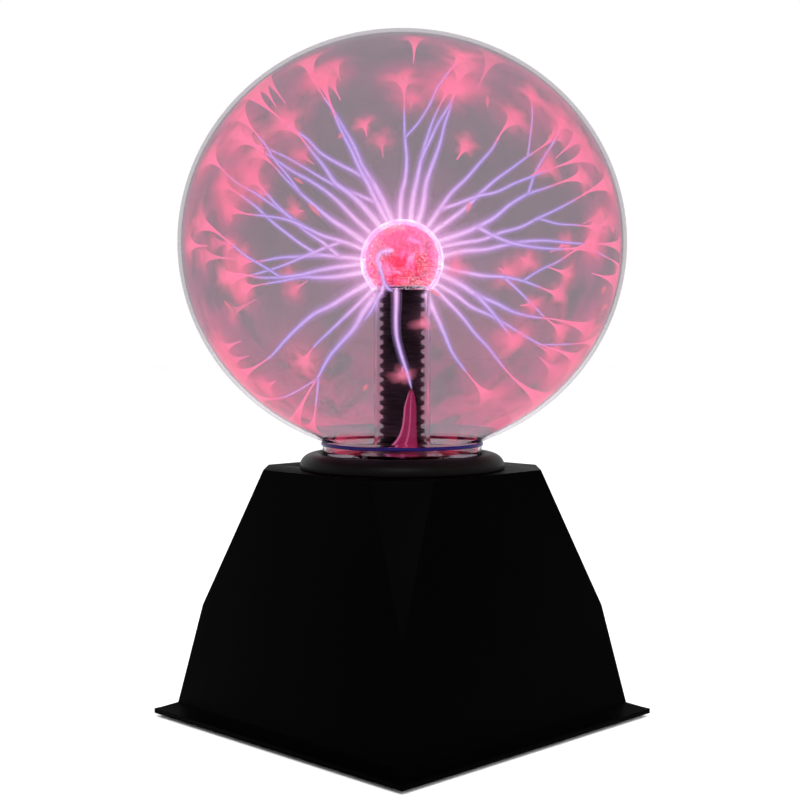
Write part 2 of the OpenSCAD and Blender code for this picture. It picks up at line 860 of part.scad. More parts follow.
module control_chip() {
    body = [9.8, 6.4, 3.4];
    pin = [0.5, 0.5, 2];
    pin_pitch = 2.54;
    pin_y = body[1] / 2 + 0.1;
    lift = 0.6;
    place = [6, 4];
    color([0.1, 0.1, 0.1])
        translate([place[0], place[1], parts_z]) {
            translate([-body[0] / 2, -body[1] / 2, lift]) cube(body);
            for (i = [0:3], s = [-1, 1])
                translate([(i - 1.5) * pin_pitch - pin[0] / 2, s * pin_y - pin[1] / 2, 0]) cube(pin);
        }
}

module power_wires() {
    color([0.7, 0.1, 0.1])
        for (s = [-1, 1])
            panel_wire(jack_x + s * jack_tab_x, panel_y - jack_l - jack_tab_l, board_rear_y - 3);
}

module switch_wires() {
    color([0.2, 0.2, 0.2])
        for (i = [-1:1])
            panel_wire(switch_x + i * terminal_pitch, switch_front - switch_l - terminal_l, board_rear_y - 2);
}

module microphone_wires() {
    color([0.7, 0.7, 0.7])
        for (s = [-1, 1]) panel_wire(mic_x + s * mic_lead_x, panel_back - mic_l, board_rear_y - 5);
}

glass_globe();
stem_glass();
electrode_core();
electrode_contact();
corrugated_sleeve();
hv_lead();
stem_grommet();
neck_band();
neck_gasket();
collar_ring();
collar_screws();
base_shell();
bottom_cover();
bottom_screws();
foot(-1, -1);  // foot_front_left
foot(1, -1);  // foot_front_right
foot(-1, 1);  // foot_rear_left
foot(1, 1);  // foot_rear_right
rear_panel();
panel_screws();
dc_jack();
dc_jack_pin();
dc_jack_nut();
switch_body();
switch_bracket();
switch_lever();
switch_terminals();
switch_screws();
microphone();
microphone_boot();
circuit_board();
board_screws();
ferrite_core();
hv_coil();
primary_coil();
heat_sink();
power_transistor();
transistor_screw();
capacitors();
fuse();
resistors();
control_chip();
power_wires();
switch_wires();
microphone_wires();
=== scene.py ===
import json
import math
import random

import bmesh
import bpy
from mathutils import Matrix, Vector
from mathutils.noise import noise


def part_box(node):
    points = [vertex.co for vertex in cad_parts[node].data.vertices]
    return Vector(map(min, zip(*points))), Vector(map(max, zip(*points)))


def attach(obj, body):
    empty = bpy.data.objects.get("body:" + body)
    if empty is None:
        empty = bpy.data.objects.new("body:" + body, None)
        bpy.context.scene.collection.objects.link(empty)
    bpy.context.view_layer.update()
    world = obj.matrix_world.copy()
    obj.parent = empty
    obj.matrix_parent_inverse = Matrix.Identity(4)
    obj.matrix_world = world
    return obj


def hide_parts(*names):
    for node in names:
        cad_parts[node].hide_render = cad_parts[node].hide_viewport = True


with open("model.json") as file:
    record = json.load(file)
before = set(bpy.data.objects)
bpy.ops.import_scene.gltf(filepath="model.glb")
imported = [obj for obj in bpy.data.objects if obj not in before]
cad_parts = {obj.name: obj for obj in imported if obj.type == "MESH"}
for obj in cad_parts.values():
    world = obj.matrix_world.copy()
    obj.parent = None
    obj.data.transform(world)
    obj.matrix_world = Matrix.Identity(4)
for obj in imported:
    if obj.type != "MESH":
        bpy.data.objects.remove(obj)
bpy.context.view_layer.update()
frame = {"nodes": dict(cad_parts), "record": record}
base = "base"            # the body that carries everything but the switch lever
up = Vector((0, 0, 1))
print("frame loaded:", len(frame["nodes"]), "nodes")


# camera: one corner of the housing faces it
viewpoint = {
    "azimuth": 45.0,       # degrees, from the front wall towards +X
    "distance": 0.652,     # level distance from the globe's axis, metres
    "height": 0.1755,      # above the standing surface
    "pitch": -2.71,        # degrees
    "turn": 0.085,         # degrees
    "lens": 65.0,
}


def makeCamera(v):
    a = math.radians(v["azimuth"])
    camera = bpy.data.objects.new("camera", bpy.data.cameras.new("camera"))
    bpy.context.scene.collection.objects.link(camera)
    camera.location = (v["distance"] * math.sin(a), -v["distance"] * math.cos(a), v["height"])
    camera.rotation_euler = (math.radians(90 + v["pitch"]), 0, a + math.radians(v["turn"]))
    camera.data.lens = v["lens"]
    camera.data.sensor_width = 36
    camera.data.clip_start = 0.01
    bpy.context.scene.camera = camera
    return camera


camera = makeCamera(viewpoint)
viewAngle = math.radians(viewpoint["azimuth"])
toViewer = Vector((math.sin(viewAngle), -math.cos(viewAngle), 0))
toRight = Vector((math.cos(viewAngle), math.sin(viewAngle), 0))


# studio
studio = {
    "sky": (1.0, 0.995, 0.995, 1),
    "skyStrength": 1.02,
    "floorColour": (0.98, 0.975, 0.975, 1),
    "floorSize": 12.0,
    "lamps": [
        # name, place, size, watts, shows in the gloss
        ("keyLamp", (0.80, -0.80, 1.30), 0.8, 20.0, True),
        ("sideLamp", (1.3, 0.2, 0.7), 0.6, 5.0, False),
        ("topLamp", (-0.3, 0.4, 1.5), 1.0, 9.0, False),
    ],
}


def makeStudio(s):
    world = bpy.data.worlds.new("studio")
    bpy.context.scene.world = world
    world.use_nodes = True
    sky = world.node_tree.nodes["Background"]
    sky.inputs["Color"].default_value = s["sky"]
    sky.inputs["Strength"].default_value = s["skyStrength"]
    for name, place, size, watts, shows in s["lamps"]:
        lamp = bpy.data.objects.new(name, bpy.data.lights.new(name, "AREA"))
        lamp.data.size = size
        lamp.data.energy = watts
        lamp.location = place
        aim = Vector((0, 0, 0.16)) - Vector(place)
        lamp.rotation_euler = aim.to_track_quat("-Z", "Y").to_euler()
        lamp.visible_glossy = shows
        lamp.visible_transmission = False
        bpy.context.scene.collection.objects.link(lamp)
    half = s["floorSize"] / 2
    mesh = bpy.data.meshes.new("floor")
    corners = [(-half, -half, 0), (half, -half, 0), (half, half, 0), (-half, half, 0)]
    mesh.from_pydata(corners, [], [(0, 1, 2, 3)])
    floor = bpy.data.objects.new("floor", mesh)
    bpy.context.scene.collection.objects.link(floor)
    mat = bpy.data.materials.new("floorPaint")
    mat.use_nodes = True
    surface = mat.node_tree.nodes["Principled BSDF"]
    surface.inputs["Base Color"].default_value = s["floorColour"]
    surface.inputs["Roughness"].default_value = 0.7
    mesh.materials.append(mat)
    # many thin glowing layers lie behind each other in the globe
    bpy.context.scene.cycles.transparent_max_bounces = 96
    bpy.context.scene.cycles.max_bounces = 24
    bpy.context.scene.cycles.transmission_bounces = 24
    bpy.context.scene.view_settings.view_transform = "Standard"


makeStudio(studio)
print("studio ready")


# shapes

def linked(name, mesh, mat=None):
    piece = bpy.data.objects.new(name, mesh)
    bpy.context.scene.collection.objects.link(piece)
    if mat is not None:
        mesh.materials.clear()
        mesh.materials.append(mat)
    return piece


def newBuild():
    return {"points": [], "faces": [], "warmth": [], "fade": []}


def addPoint(build, place, warmth=0.0, fade=1.0):
    build["points"].append(tuple(place))
    build["warmth"].append(warmth)
    build["fade"].append(fade)
    return len(build["points"]) - 1


def builtMesh(name, build, smooth=True):
    mesh = bpy.data.meshes.new(name)
    mesh.from_pydata(build["points"], [], build["faces"])
    for label in ("warmth", "fade"):
        layer = mesh.attributes.new(label, "FLOAT", "POINT")
        layer.data.foreach_set("value", build[label])
    mesh.polygons.foreach_set("use_smooth", [smooth] * len(mesh.polygons))
    mesh.update()
    return mesh


def facedOutwards(mesh):
    work = bmesh.new()
    work.from_mesh(mesh)
    bmesh.ops.remove_doubles(work, verts=work.verts, dist=1e-7)
    bmesh.ops.recalc_face_normals(work, faces=work.faces)
    work.to_mesh(mesh)
    work.free()
    return mesh


# faces between rows of points: a row of one point makes a fan, and a ring closes on itself
def addStrips(build, rows, ring=True):
    for first, second in zip(rows, rows[1:]):
        count = max(len(first), len(second))
        for i in range(count if ring else count - 1):
            j = (i + 1) % count
            corners = (first[i % len(first)], second[i % len(second)],
                       second[j % len(second)], first[j % len(first)])
            corners = tuple(dict.fromkeys(corners))
            if len(corners) > 2:
                build["faces"].append(corners)


# a profile of (radius, height) turned round the globe's axis; profiles end on the axis or are closed
def lathe(name, profile, turns, closed=False, mat=None):
    build = newBuild()
    rings = []
    for radius, height in profile:
        if radius < 1e-6:
            rings.append([addPoint(build, (0, 0, height))])
            continue
        ring = []
        for i in range(turns):
            a = 2 * math.pi * i / turns
            ring.append(addPoint(build, (radius * math.cos(a), radius * math.sin(a), height)))
        rings.append(ring)
    if closed:
        rings.append(rings[0])
    addStrips(build, rings)
    mesh = facedOutwards(builtMesh(name, build))
    mesh.set_sharp_from_angle(angle=math.radians(40))
    return linked(name, mesh, mat)


def arcPoints(centre, radius, start, end, steps):
    spots = []
    for i in range(steps + 1):
        a = math.radians(start + (end - start) * i / steps)
        spots.append((centre[0] + radius * math.cos(a), centre[1] + radius * math.sin(a)))
    return spots


def evaluatedMesh(piece):
    graph = bpy.context.evaluated_depsgraph_get()
    return bpy.data.meshes.new_from_object(piece.evaluated_get(graph), preserve_all_data_layers=True,
                                           depsgraph=graph)


# a plain mesh piece from a source object and its modifiers; the source goes away
def applied(source, name, mat=None):
    mesh = evaluatedMesh(source)
    mesh.name = name
    old = source.data
    bpy.data.objects.remove(source)
    if old.users == 0:
        bpy.data.meshes.remove(old)
    return linked(name, mesh, mat)


# a copy of a CAD node with its sharp edges rounded
def softened(node, name, mat, width, segments=3, angle=30):
    mesh = frame["nodes"][node].data.copy()
    work = bmesh.new()
    work.from_mesh(mesh)
    bmesh.ops.remove_doubles(work, verts=work.verts, dist=1e-6)
    bmesh.ops.dissolve_limit(work, angle_limit=math.radians(0.5), verts=work.verts, edges=work.edges)
    work.to_mesh(mesh)
    work.free()
    source = linked(name + "Source", mesh)
    bevel = source.modifiers.new("edges", "BEVEL")
    bevel.width = width
    bevel.segments = segments
    bevel.limit_method = "ANGLE"
    bevel.angle_limit = math.radians(angle)
    bevel.harden_normals = True
    mesh.polygons.foreach_set("use_smooth", [True] * len(mesh.polygons))
    piece = applied(source, name, mat)
    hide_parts(node)
    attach(piece, bodyOf(node))
    return piece


# a geometry tree with named inputs, and the identifier of each
def newGeometryTree(name, inputs):
    tree = bpy.data.node_groups.new(name, "GeometryNodeTree")
    tree.interface.new_socket(name="Geometry", in_out="INPUT", socket_type="NodeSocketGeometry")
    sockets = {}
    for label, kind in inputs.items():
        sockets[label] = tree.interface.new_socket(name=label, in_out="INPUT",
                                                   socket_type=kind).identifier
    tree.interface.new_socket(name="Geometry", in_out="OUTPUT", socket_type="NodeSocketGeometry")
    return tree, sockets, tree.nodes.new("NodeGroupInput"), tree.nodes.new("NodeGroupOutput")


# a plain mesh piece grown from a source object by a geometry tree
def grown(source, name, tree, sockets, values):
    modifier = source.modifiers.new("growth", "NODES")
    modifier.node_group = tree
    for label, value in values.items():
        modifier[sockets[label]] = value
    return applied(source, name, values["Finish"])


def bodyOf(node):
    for body, members in frame["record"]["behaviour"]["bodies"].items():
        if node in members:
            return body
    return base


# finishes

def newFinish(name):
    mat = bpy.data.materials.new(name)
    mat.use_nodes = True
    tree = mat.node_tree
    tree.nodes.clear()
    return mat, tree, tree.nodes.new("ShaderNodeOutputMaterial")


def addNode(tree, kind, values=None, **settings):
    node = tree.nodes.new(kind)
    for label, value in settings.items():
        setattr(node, label, value)
    for label, value in (values or {}).items():
        node.inputs[label].default_value = value
    return node


def wire(tree, source, output, target, socket):
    tree.links.new(source.outputs[output], target.inputs[socket])


def setRamp(node, ramp):
    steps = node.color_ramp.elements
    while len(steps) < len(ramp):
        steps.new(0.5)
    for step, (spot, tone) in zip(steps, ramp):
        step.position = spot
        step.color = (*tone, 1)


def makeGroup(name, inputs, outputs):
    group = bpy.data.node_groups.new(name, "ShaderNodeTree")
    for label, kind, value in inputs:
        socket = group.interface.new_socket(name=label, in_out="INPUT", socket_type=kind)
        socket.default_value = value
    for label, kind in outputs:
        group.interface.new_socket(name=label, in_out="OUTPUT", socket_type=kind)
    return group, group.nodes.new("NodeGroupInput"), group.nodes.new("NodeGroupOutput")


def groupNode(tree, group, values):
    node = tree.nodes.new("ShaderNodeGroup")
    node.node_tree = group
    for label, value in values.items():
        node.inputs[label].default_value = value
    return node


number, colour = "NodeSocketFloat", "NodeSocketColor"


# fine moulded grain over slow changes of tone
def makeGrainGroup():
    group, given, out = makeGroup(
        "mouldGrain",
        [("Tone", colour, (0.05, 0.05, 0.05, 1)), ("Second Tone", colour, (0.07, 0.07, 0.07, 1)),
         ("Grain Scale", number, 1400.0), ("Patch Scale", number, 22.0),
         ("Smoothest", number, 0.4), ("Roughest", number, 0.6)],
        [("Colour", colour), ("Roughness", number), ("Height", number)])
    place = addNode(group, "ShaderNodeTexCoord")
    grain = addNode(group, "ShaderNodeTexNoise", {"Detail": 4.0, "Roughness": 0.6})
    patch = addNode(group, "ShaderNodeTexNoise", {"Detail": 3.0, "Roughness": 0.55})
    tone = addNode(group, "ShaderNodeMix", data_type="RGBA")
    rough = addNode(group, "ShaderNodeMapRange", {"From Min": 0.3, "From Max": 0.7})
    both = addNode(group, "ShaderNodeMath", {1: 0.5}, operation="MULTIPLY")
    summed = addNode(group, "ShaderNodeMath", operation="ADD")
    wire(group, place, "Object", grain, "Vector")
    wire(group, place, "Object", patch, "Vector")
    wire(group, given, "Grain Scale", grain, "Scale")
    wire(group, given, "Patch Scale", patch, "Scale")
    wire(group, patch, "Fac", tone, "Factor")
    wire(group, given, "Tone", tone, "A")
    wire(group, given, "Second Tone", tone, "B")
    wire(group, grain, "Fac", both, 0)
    wire(group, both, 0, summed, 0)
    wire(group, patch, "Fac", both, 1)
    wire(group, patch, "Fac", summed, 1)
    wire(group, patch, "Fac", rough, "Value")
    wire(group, given, "Smoothest", rough, "To Min")
    wire(group, given, "Roughest", rough, "To Max")
    wire(group, tone, "Result", out, "Colour")
    wire(group, rough, "Result", out, "Roughness")
    wire(group, grain, "Fac", out, "Height")
    return group


# drawn or machined marks that run across one axis
def makeMarksGroup():
    group, given, out = makeGroup(
        "machinedMarks",
        [("Tone", colour, (0.6, 0.6, 0.62, 1)), ("Second Tone", colour, (0.5, 0.5, 0.52, 1)),
         ("Mark Scale", number, 300.0), ("Smoothest", number, 0.25), ("Roughest", number, 0.45)],
        [("Colour", colour), ("Roughness", number), ("Height", number)])
    place = addNode(group, "ShaderNodeTexCoord")
    stretch = addNode(group, "ShaderNodeMapping", {"Scale": (0.15, 1.0, 1.0)})
    marks = addNode(group, "ShaderNodeTexNoise", {"Detail": 5.0, "Roughness": 0.7})
    tone = addNode(group, "ShaderNodeMix", data_type="RGBA")
    rough = addNode(group, "ShaderNodeMapRange", {"From Min": 0.3, "From Max": 0.7})
    wire(group, place, "Object", stretch, "Vector")
    wire(group, stretch, "Vector", marks, "Vector")
    wire(group, given, "Mark Scale", marks, "Scale")
    wire(group, marks, "Fac", tone, "Factor")
    wire(group, given, "Tone", tone, "A")
    wire(group, given, "Second Tone", tone, "B")
    wire(group, marks, "Fac", rough, "Value")
    wire(group, given, "Smoothest", rough, "To Min")
    wire(group, given, "Roughest", rough, "To Max")
    wire(group, tone, "Result", out, "Colour")
    wire(group, rough, "Result", out, "Roughness")
    wire(group, marks, "Fac", out, "Height")
    return group


# torn, cloudy patches like those of glowing gas
def makeCloudGroup():
    group, given, out = makeGroup(
        "gasClouds",
        [("Cloud Scale", number, 40.0), ("Tear", number, 1.0), ("Thin", number, 0.42),
         ("Thick", number, 0.62)],
        [("Mask", number)])
    place = addNode(group, "ShaderNodeTexCoord")
    clouds = addNode(group, "ShaderNodeTexNoise", {"Detail": 4.0, "Roughness": 0.55})
    shape = addNode(group, "ShaderNodeMapRange", interpolation_type="SMOOTHSTEP")
    wire(group, place, "Object", clouds, "Vector")
    wire(group, given, "Cloud Scale", clouds, "Scale")
    wire(group, given, "Tear", clouds, "Distortion")
    wire(group, clouds, "Fac", shape, "Value")
    wire(group, given, "Thin", shape, "From Min")
    wire(group, given, "Thick", shape, "From Max")
    wire(group, shape, "Result", out, "Mask")
    return group


grainGroup = makeGrainGroup()
marksGroup = makeMarksGroup()
cloudGroup = makeCloudGroup()


# a surface whose colour, roughness and relief come from one of the groups
def groupFinish(name, group, given, surfaceValues, relief, depth):
    mat, tree, out = newFinish(name)
    surface = addNode(tree, "ShaderNodeBsdfPrincipled", surfaceValues)
    look = groupNode(tree, group, given)
    bump = addNode(tree, "ShaderNodeBump", {"Strength": relief, "Distance": depth})
    wire(tree, look, "Colour", surface, "Base Color")
    wire(tree, look, "Roughness", surface, "Roughness")
    wire(tree, look, "Height", bump, "Height")
    wire(tree, bump, "Normal", surface, "Normal")
    wire(tree, surface, 0, out, "Surface")
    return mat


# moulded plastic or rubber
def mouldedFinish(name, tone, second, rough=(0.42, 0.6), grain=1400.0, relief=0.08, gloss=0.3):
    given = {"Tone": (*tone, 1), "Second Tone": (*second, 1), "Grain Scale": grain,
             "Smoothest": rough[0], "Roughest": rough[1]}
    return groupFinish(name, grainGroup, given, {"Specular IOR Level": gloss}, relief, 0.0004)


def metalFinish(name, tone, second, rough=(0.25, 0.42), marks=300.0, relief=0.1):
    given = {"Tone": (*tone, 1), "Second Tone": (*second, 1), "Mark Scale": marks,
             "Smoothest": rough[0], "Roughest": rough[1]}
    return groupFinish(name, marksGroup, given, {"Metallic": 1.0}, relief, 0.0003)


def grey(tone):
    return (tone, tone, tone)


# glass that lets the lamps' light in, so what it holds is lit; its tint deepens towards the rim
def glassFinish(name, tint, second, ior=1.46, sheen=1.0, edge=(0.5, 0.5, 0.5)):
    mat, tree, out = newFinish(name)
    surface = addNode(tree, "ShaderNodeBsdfPrincipled", {
        "Transmission Weight": 1.0, "Roughness": 0.0, "IOR": ior, "Specular Tint": (*grey(sheen), 1)})
    look = groupNode(tree, grainGroup, {
        "Tone": (*tint, 1), "Second Tone": (*second, 1), "Patch Scale": 14.0})
    turned = addNode(tree, "ShaderNodeLayerWeight", {"Blend": 0.5})
    share = addNode(tree, "ShaderNodeMapRange", {"From Min": 0.86, "From Max": 0.99})
    deeper = addNode(tree, "ShaderNodeMix", {"B": (*edge, 1)}, data_type="RGBA")
    clear = addNode(tree, "ShaderNodeBsdfTransparent", {"Color": (*[math.sqrt(c) for c in tint], 1)})
    path = addNode(tree, "ShaderNodeLightPath")
    mixed = addNode(tree, "ShaderNodeMixShader")
    wire(tree, turned, "Facing", share, "Value")
    wire(tree, share, "Result", deeper, "Factor")
    wire(tree, look, "Colour", deeper, "A")
    wire(tree, deeper, "Result", surface, "Base Color")
    wire(tree, path, "Is Shadow Ray", mixed, 0)
    wire(tree, surface, 0, mixed, 1)
    wire(tree, clear, 0, mixed, 2)
    wire(tree, mixed, 0, out, "Surface")
    return mat


# light given off by gas: its colour runs along the warmth attribute, and fade thins it out
def glowFinish(name, ramp, strength, alpha, clouds=None):
    mat, tree, out = newFinish(name)
    surface = addNode(tree, "ShaderNodeBsdfPrincipled", {
        "Base Color": (0, 0, 0, 1), "Specular IOR Level": 0.0, "Roughness": 1.0,
        "Emission Strength": strength})
    warmth = addNode(tree, "ShaderNodeAttribute", attribute_name="warmth")
    fade = addNode(tree, "ShaderNodeAttribute", attribute_name="fade")
    tones = addNode(tree, "ShaderNodeValToRGB")
    setRamp(tones, ramp)
    thin = addNode(tree, "ShaderNodeMath", {1: alpha}, operation="MULTIPLY")
    wire(tree, warmth, "Fac", tones, "Fac")
    wire(tree, tones, "Color", surface, "Emission Color")
    wire(tree, fade, "Fac", thin, 0)
    last = thin
    if clouds is not None:
        mask = groupNode(tree, cloudGroup, clouds)
        last = addNode(tree, "ShaderNodeMath", operation="MULTIPLY")
        wire(tree, thin, 0, last, 0)
        wire(tree, mask, "Mask", last, 1)
    wire(tree, last, 0, surface, "Alpha")
    wire(tree, surface, 0, out, "Surface")
    return mat


# globe and stem
globeLow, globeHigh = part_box("glass_globe")
stemLow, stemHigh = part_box("stem_glass")
globe = {
    "halfWidth": (globeHigh.x - globeLow.x) / 2,
    "halfHeight": 0.0945,
    "wall": 0.0016,
    "neckRadius": 0.036,
    "neckEnd": globeLow.z,
    "lip": 0.0006,         # rounding at the neck's cut end
    "tint": (0.53, 0.495, 0.525),
    "secondTint": (0.46, 0.425, 0.455),
}
globe["centre"] = globeHigh.z - globe["halfHeight"]
stem = {
    "tube": 0.0128,
    "bulb": 0.0183,
    "wall": 0.0015,
    "flare": 0.005,
    "floorRadius": stemHigh.x,
    "tipRadius": 0.003,
    "tipLength": 0.009,
    "tint": (0.93, 0.91, 0.94),
    "secondTint": (0.88, 0.86, 0.9),
}
stem["centre"] = stemHigh.z - stem["bulb"]
stem["floor"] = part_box("stem_grommet")[1].z - 0.005 + stem["wall"]
electrode = Vector((0, 0, stem["centre"]))


def ellipseDown(a, b, radius, steps):
    last = math.pi - math.asin(radius / a)
    return [(a * math.sin(last * i / steps), globe["centre"] + b * math.cos(last * i / steps))
            for i in range(steps + 1)]


def makeGlobe():
    a, b, wall, neck = globe["halfWidth"], globe["halfHeight"], globe["wall"], globe["neckRadius"]
    outer = ellipseDown(a, b, neck, 90)
    inner = ellipseDown(a - wall, b - wall, neck - wall, 90)
    outer[0] = (0, outer[0][1])
    inner[0] = (0, inner[0][1])
    lip, end = globe["lip"], globe["neckEnd"]
    rim = [(neck, end + lip), (neck - lip, end), (neck - wall + lip, end), (neck - wall, end + lip)]
    glass = glassFinish("smokyGlass", globe["tint"], globe["secondTint"], ior=1.035, sheen=0.3,
                        edge=(0.16, 0.12, 0.22))
    piece = lathe("glassGlobe", outer + rim + inner[::-1], 160, mat=glass)
    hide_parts("glass_globe")
    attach(piece, base)


def makeStem():
    tube, bulb, wall, flare = stem["tube"], stem["bulb"], stem["wall"], stem["flare"]
    floor, centre = stem["floor"], stem["centre"]
    inBulb = bulb - wall
    outerFrom = -math.degrees(math.acos(tube / bulb))
    innerFrom = -math.degrees(math.acos((tube - wall) / inBulb))
    profile = [(stem["floorRadius"], floor)]
    profile += arcPoints((tube + flare, floor + flare), flare, 270, 180, 10)
    profile += arcPoints((0, centre), bulb, outerFrom, 90, 40)
    profile += arcPoints((0, centre), inBulb, 90, innerFrom, 40)
    profile += arcPoints((tube + flare, floor + flare), flare + wall, 180, 270, 10)
    profile += [(stem["floorRadius"], floor - wall)]
    profile = [(0 if r < 1e-6 else r, z) for r, z in profile]
    glass = glassFinish("stemGlass", stem["tint"], stem["secondTint"], ior=1.3, sheen=0.2,
                        edge=(0.5, 0.42, 0.5))
    piece = lathe("stemGlass", profile, 112, closed=True, mat=glass)
    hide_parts("stem_glass")
    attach(piece, base)
    # the sealed exhaust tip under the floor
    tip, x, z = stem["tipRadius"], (tube + stem["floorRadius"]) / 2, floor - wall
    spots = [(tip + 0.0012, z), (tip + 0.0003, z - 0.0012)]
    spots += arcPoints((0, z - stem["tipLength"]), tip, 0, -90, 8)
    nib = lathe("exhaustTip", [(0, z + 0.0001)] + spots[:-1] + [(0, spots[-1][1])], 32, mat=glass)
    nib.data.transform(Matrix.Translation((x, 0, 0)))
    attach(nib, base)


makeGlobe()
makeStem()
print("glass blown")


# corrugated sleeve: rounded crests and narrow notches
sleeve = {"pitch": 0.0042, "groove": 0.0016, "bore": 0.0076, "crestShare": 0.62}


def makeSleeve():
    low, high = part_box("corrugated_sleeve")
    crest = high.x
    turns = round((high.z - low.z) / sleeve["pitch"])
    pitch = (high.z - low.z) / turns
    spots = [(sleeve["bore"], low.z)]
    steps = 12
    for i in range(turns):
        for k in range(steps):
            share = (k + 0.5) / steps
            off = abs(share - 0.5) / (sleeve["crestShare"] / 2)
            drop = min(1.0, max(0.0, off) ** 5)
            spots.append((crest - sleeve["groove"] * drop, low.z + (i + share) * pitch))
    spots.append((sleeve["bore"], high.z))
    # the bore follows the corrugations too
    for i in range(turns * 4, -1, -1):
        wave = 0.0002 * math.cos(2 * math.pi * i / 4)
        spots.append((sleeve["bore"] + wave, low.z + i * pitch / 4))
    finish = mouldedFinish("sleevePlastic", (0.002, 0.002, 0.003), (0.005, 0.004, 0.005), (0.3, 0.45),
                           900.0, 0.05, 0.15)
    piece = lathe("corrugatedSleeve", spots, 96, closed=True, mat=finish)
    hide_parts("corrugated_sleeve")
    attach(piece, base)


# bull-nose collar with a small inner lead-in
collar = {"bore": 0.0365, "leadIn": 0.0028, "edge": 0.0012}


def makeCollar():
    low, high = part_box("collar_ring")
    outer, leadIn, edge = high.x, collar["leadIn"], collar["edge"]
    run, rise = outer - collar["bore"] - leadIn, high.z - low.z - edge
    spots = [(collar["bore"], low.z), (outer - 0.0003, low.z), (outer, low.z + 0.0003)]
    for i in range(25):
        a = math.radians(90 * i / 24)
        spots.append((outer - run + run * math.cos(a), low.z + edge + rise * math.sin(a)))
    for i in range(1, 7):
        a = math.radians(90 * i / 6)
        spots.append((collar["bore"] + leadIn - leadIn * math.sin(a),
                      high.z - leadIn + leadIn * math.cos(a)))
    finish = mouldedFinish("collarPlastic", (0.0020, 0.0014, 0.0014), (0.0036, 0.0026, 0.0025),
                           (0.34, 0.46), 1500.0, 0.07, 0.045)
    piece = lathe("collarRing", spots, 160, closed=True, mat=finish)
    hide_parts("collar_ring")
    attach(piece, base)


# silicone bead round the neck, a little uneven as it is run on by hand
def makeNeckBand():
    low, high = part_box("neck_band")
    middle, half = (low.z + high.z) / 2, (high.z - low.z) / 2
    thick = high.x - globe["neckRadius"]
    spots = [(globe["neckRadius"] + 0.00002 + thick * max(0.0, math.cos(math.radians(a))) ** 0.6,
              middle + half * math.sin(math.radians(a))) for a in range(-90, 91, 15)]
    finish = mouldedFinish("blueSilicone", (0.008, 0.003, 0.07), (0.014, 0.005, 0.12), (0.25, 0.4),
                           500.0, 0.12, 0.12)
    piece = lathe("neckBand", spots, 180, closed=True, mat=finish)
    for v in piece.data.vertices:
        v.co.z += 0.0002 * noise(Vector((v.co.x, v.co.y, 0)) * 60)
    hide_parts("neck_band")
    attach(piece, base)


makeSleeve()
makeCollar()
makeNeckBand()
print("neck fittings made")


# electrode
wool = {"radius": 0.0166, "lump": 0.0005}


def woolFinish():
    mat, tree, out = newFinish("glowingWool")
    surface = addNode(tree, "ShaderNodeBsdfPrincipled", {
        "Base Color": (0.25, 0.01, 0.02, 1), "Roughness": 0.6, "Emission Strength": 2.6})
    mask = groupNode(tree, cloudGroup, {"Cloud Scale": 150.0, "Tear": 0.8, "Thin": 0.34, "Thick": 0.70})
    tones = addNode(tree, "ShaderNodeValToRGB")
    setRamp(tones, [(0.0, (0.42, 0.01, 0.045)), (0.3, (0.75, 0.016, 0.05)), (0.6, (0.95, 0.03, 0.10)),
                    (0.85, (1.0, 0.10, 0.28)), (1.0, (1.0, 0.28, 0.52))])
    bump = addNode(tree, "ShaderNodeBump", {"Strength": 0.6, "Distance": 0.0006})
    wire(tree, mask, "Mask", tones, "Fac")
    wire(tree, tones, "Color", surface, "Emission Color")
    wire(tree, mask, "Mask", bump, "Height")
    wire(tree, bump, "Normal", surface, "Normal")
    wire(tree, surface, 0, out, "Surface")
    return mat


def makeElectrode():
    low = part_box("electrode_core")[0]
    spots = [(0, low.z)]
    radius = wool["radius"]
    first = math.degrees(math.asin((low.z - electrode.z) / radius))
    spots += arcPoints((0, electrode.z), radius, first, 90, 60)[:-1]
    spots.append((0, electrode.z + radius))
    piece = lathe("electrodeWool", spots, 120, mat=woolFinish())
    for v in piece.data.vertices:
        out = v.co - electrode
        if v.co.z > low.z + 0.001:
            lump = noise(v.co * 260) + noise(v.co * 700) * 0.4 - 0.5
            v.co += out.normalized() * lump * wool["lump"]
    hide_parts("electrode_core")
    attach(piece, base)


makeElectrode()


# the discharge that stands like a short pile on the bulb's glass, densest where it is seen edge on
fuzz = {"density": 4.6e6, "length": 0.0007, "width": 0.00012, "seed": 5}


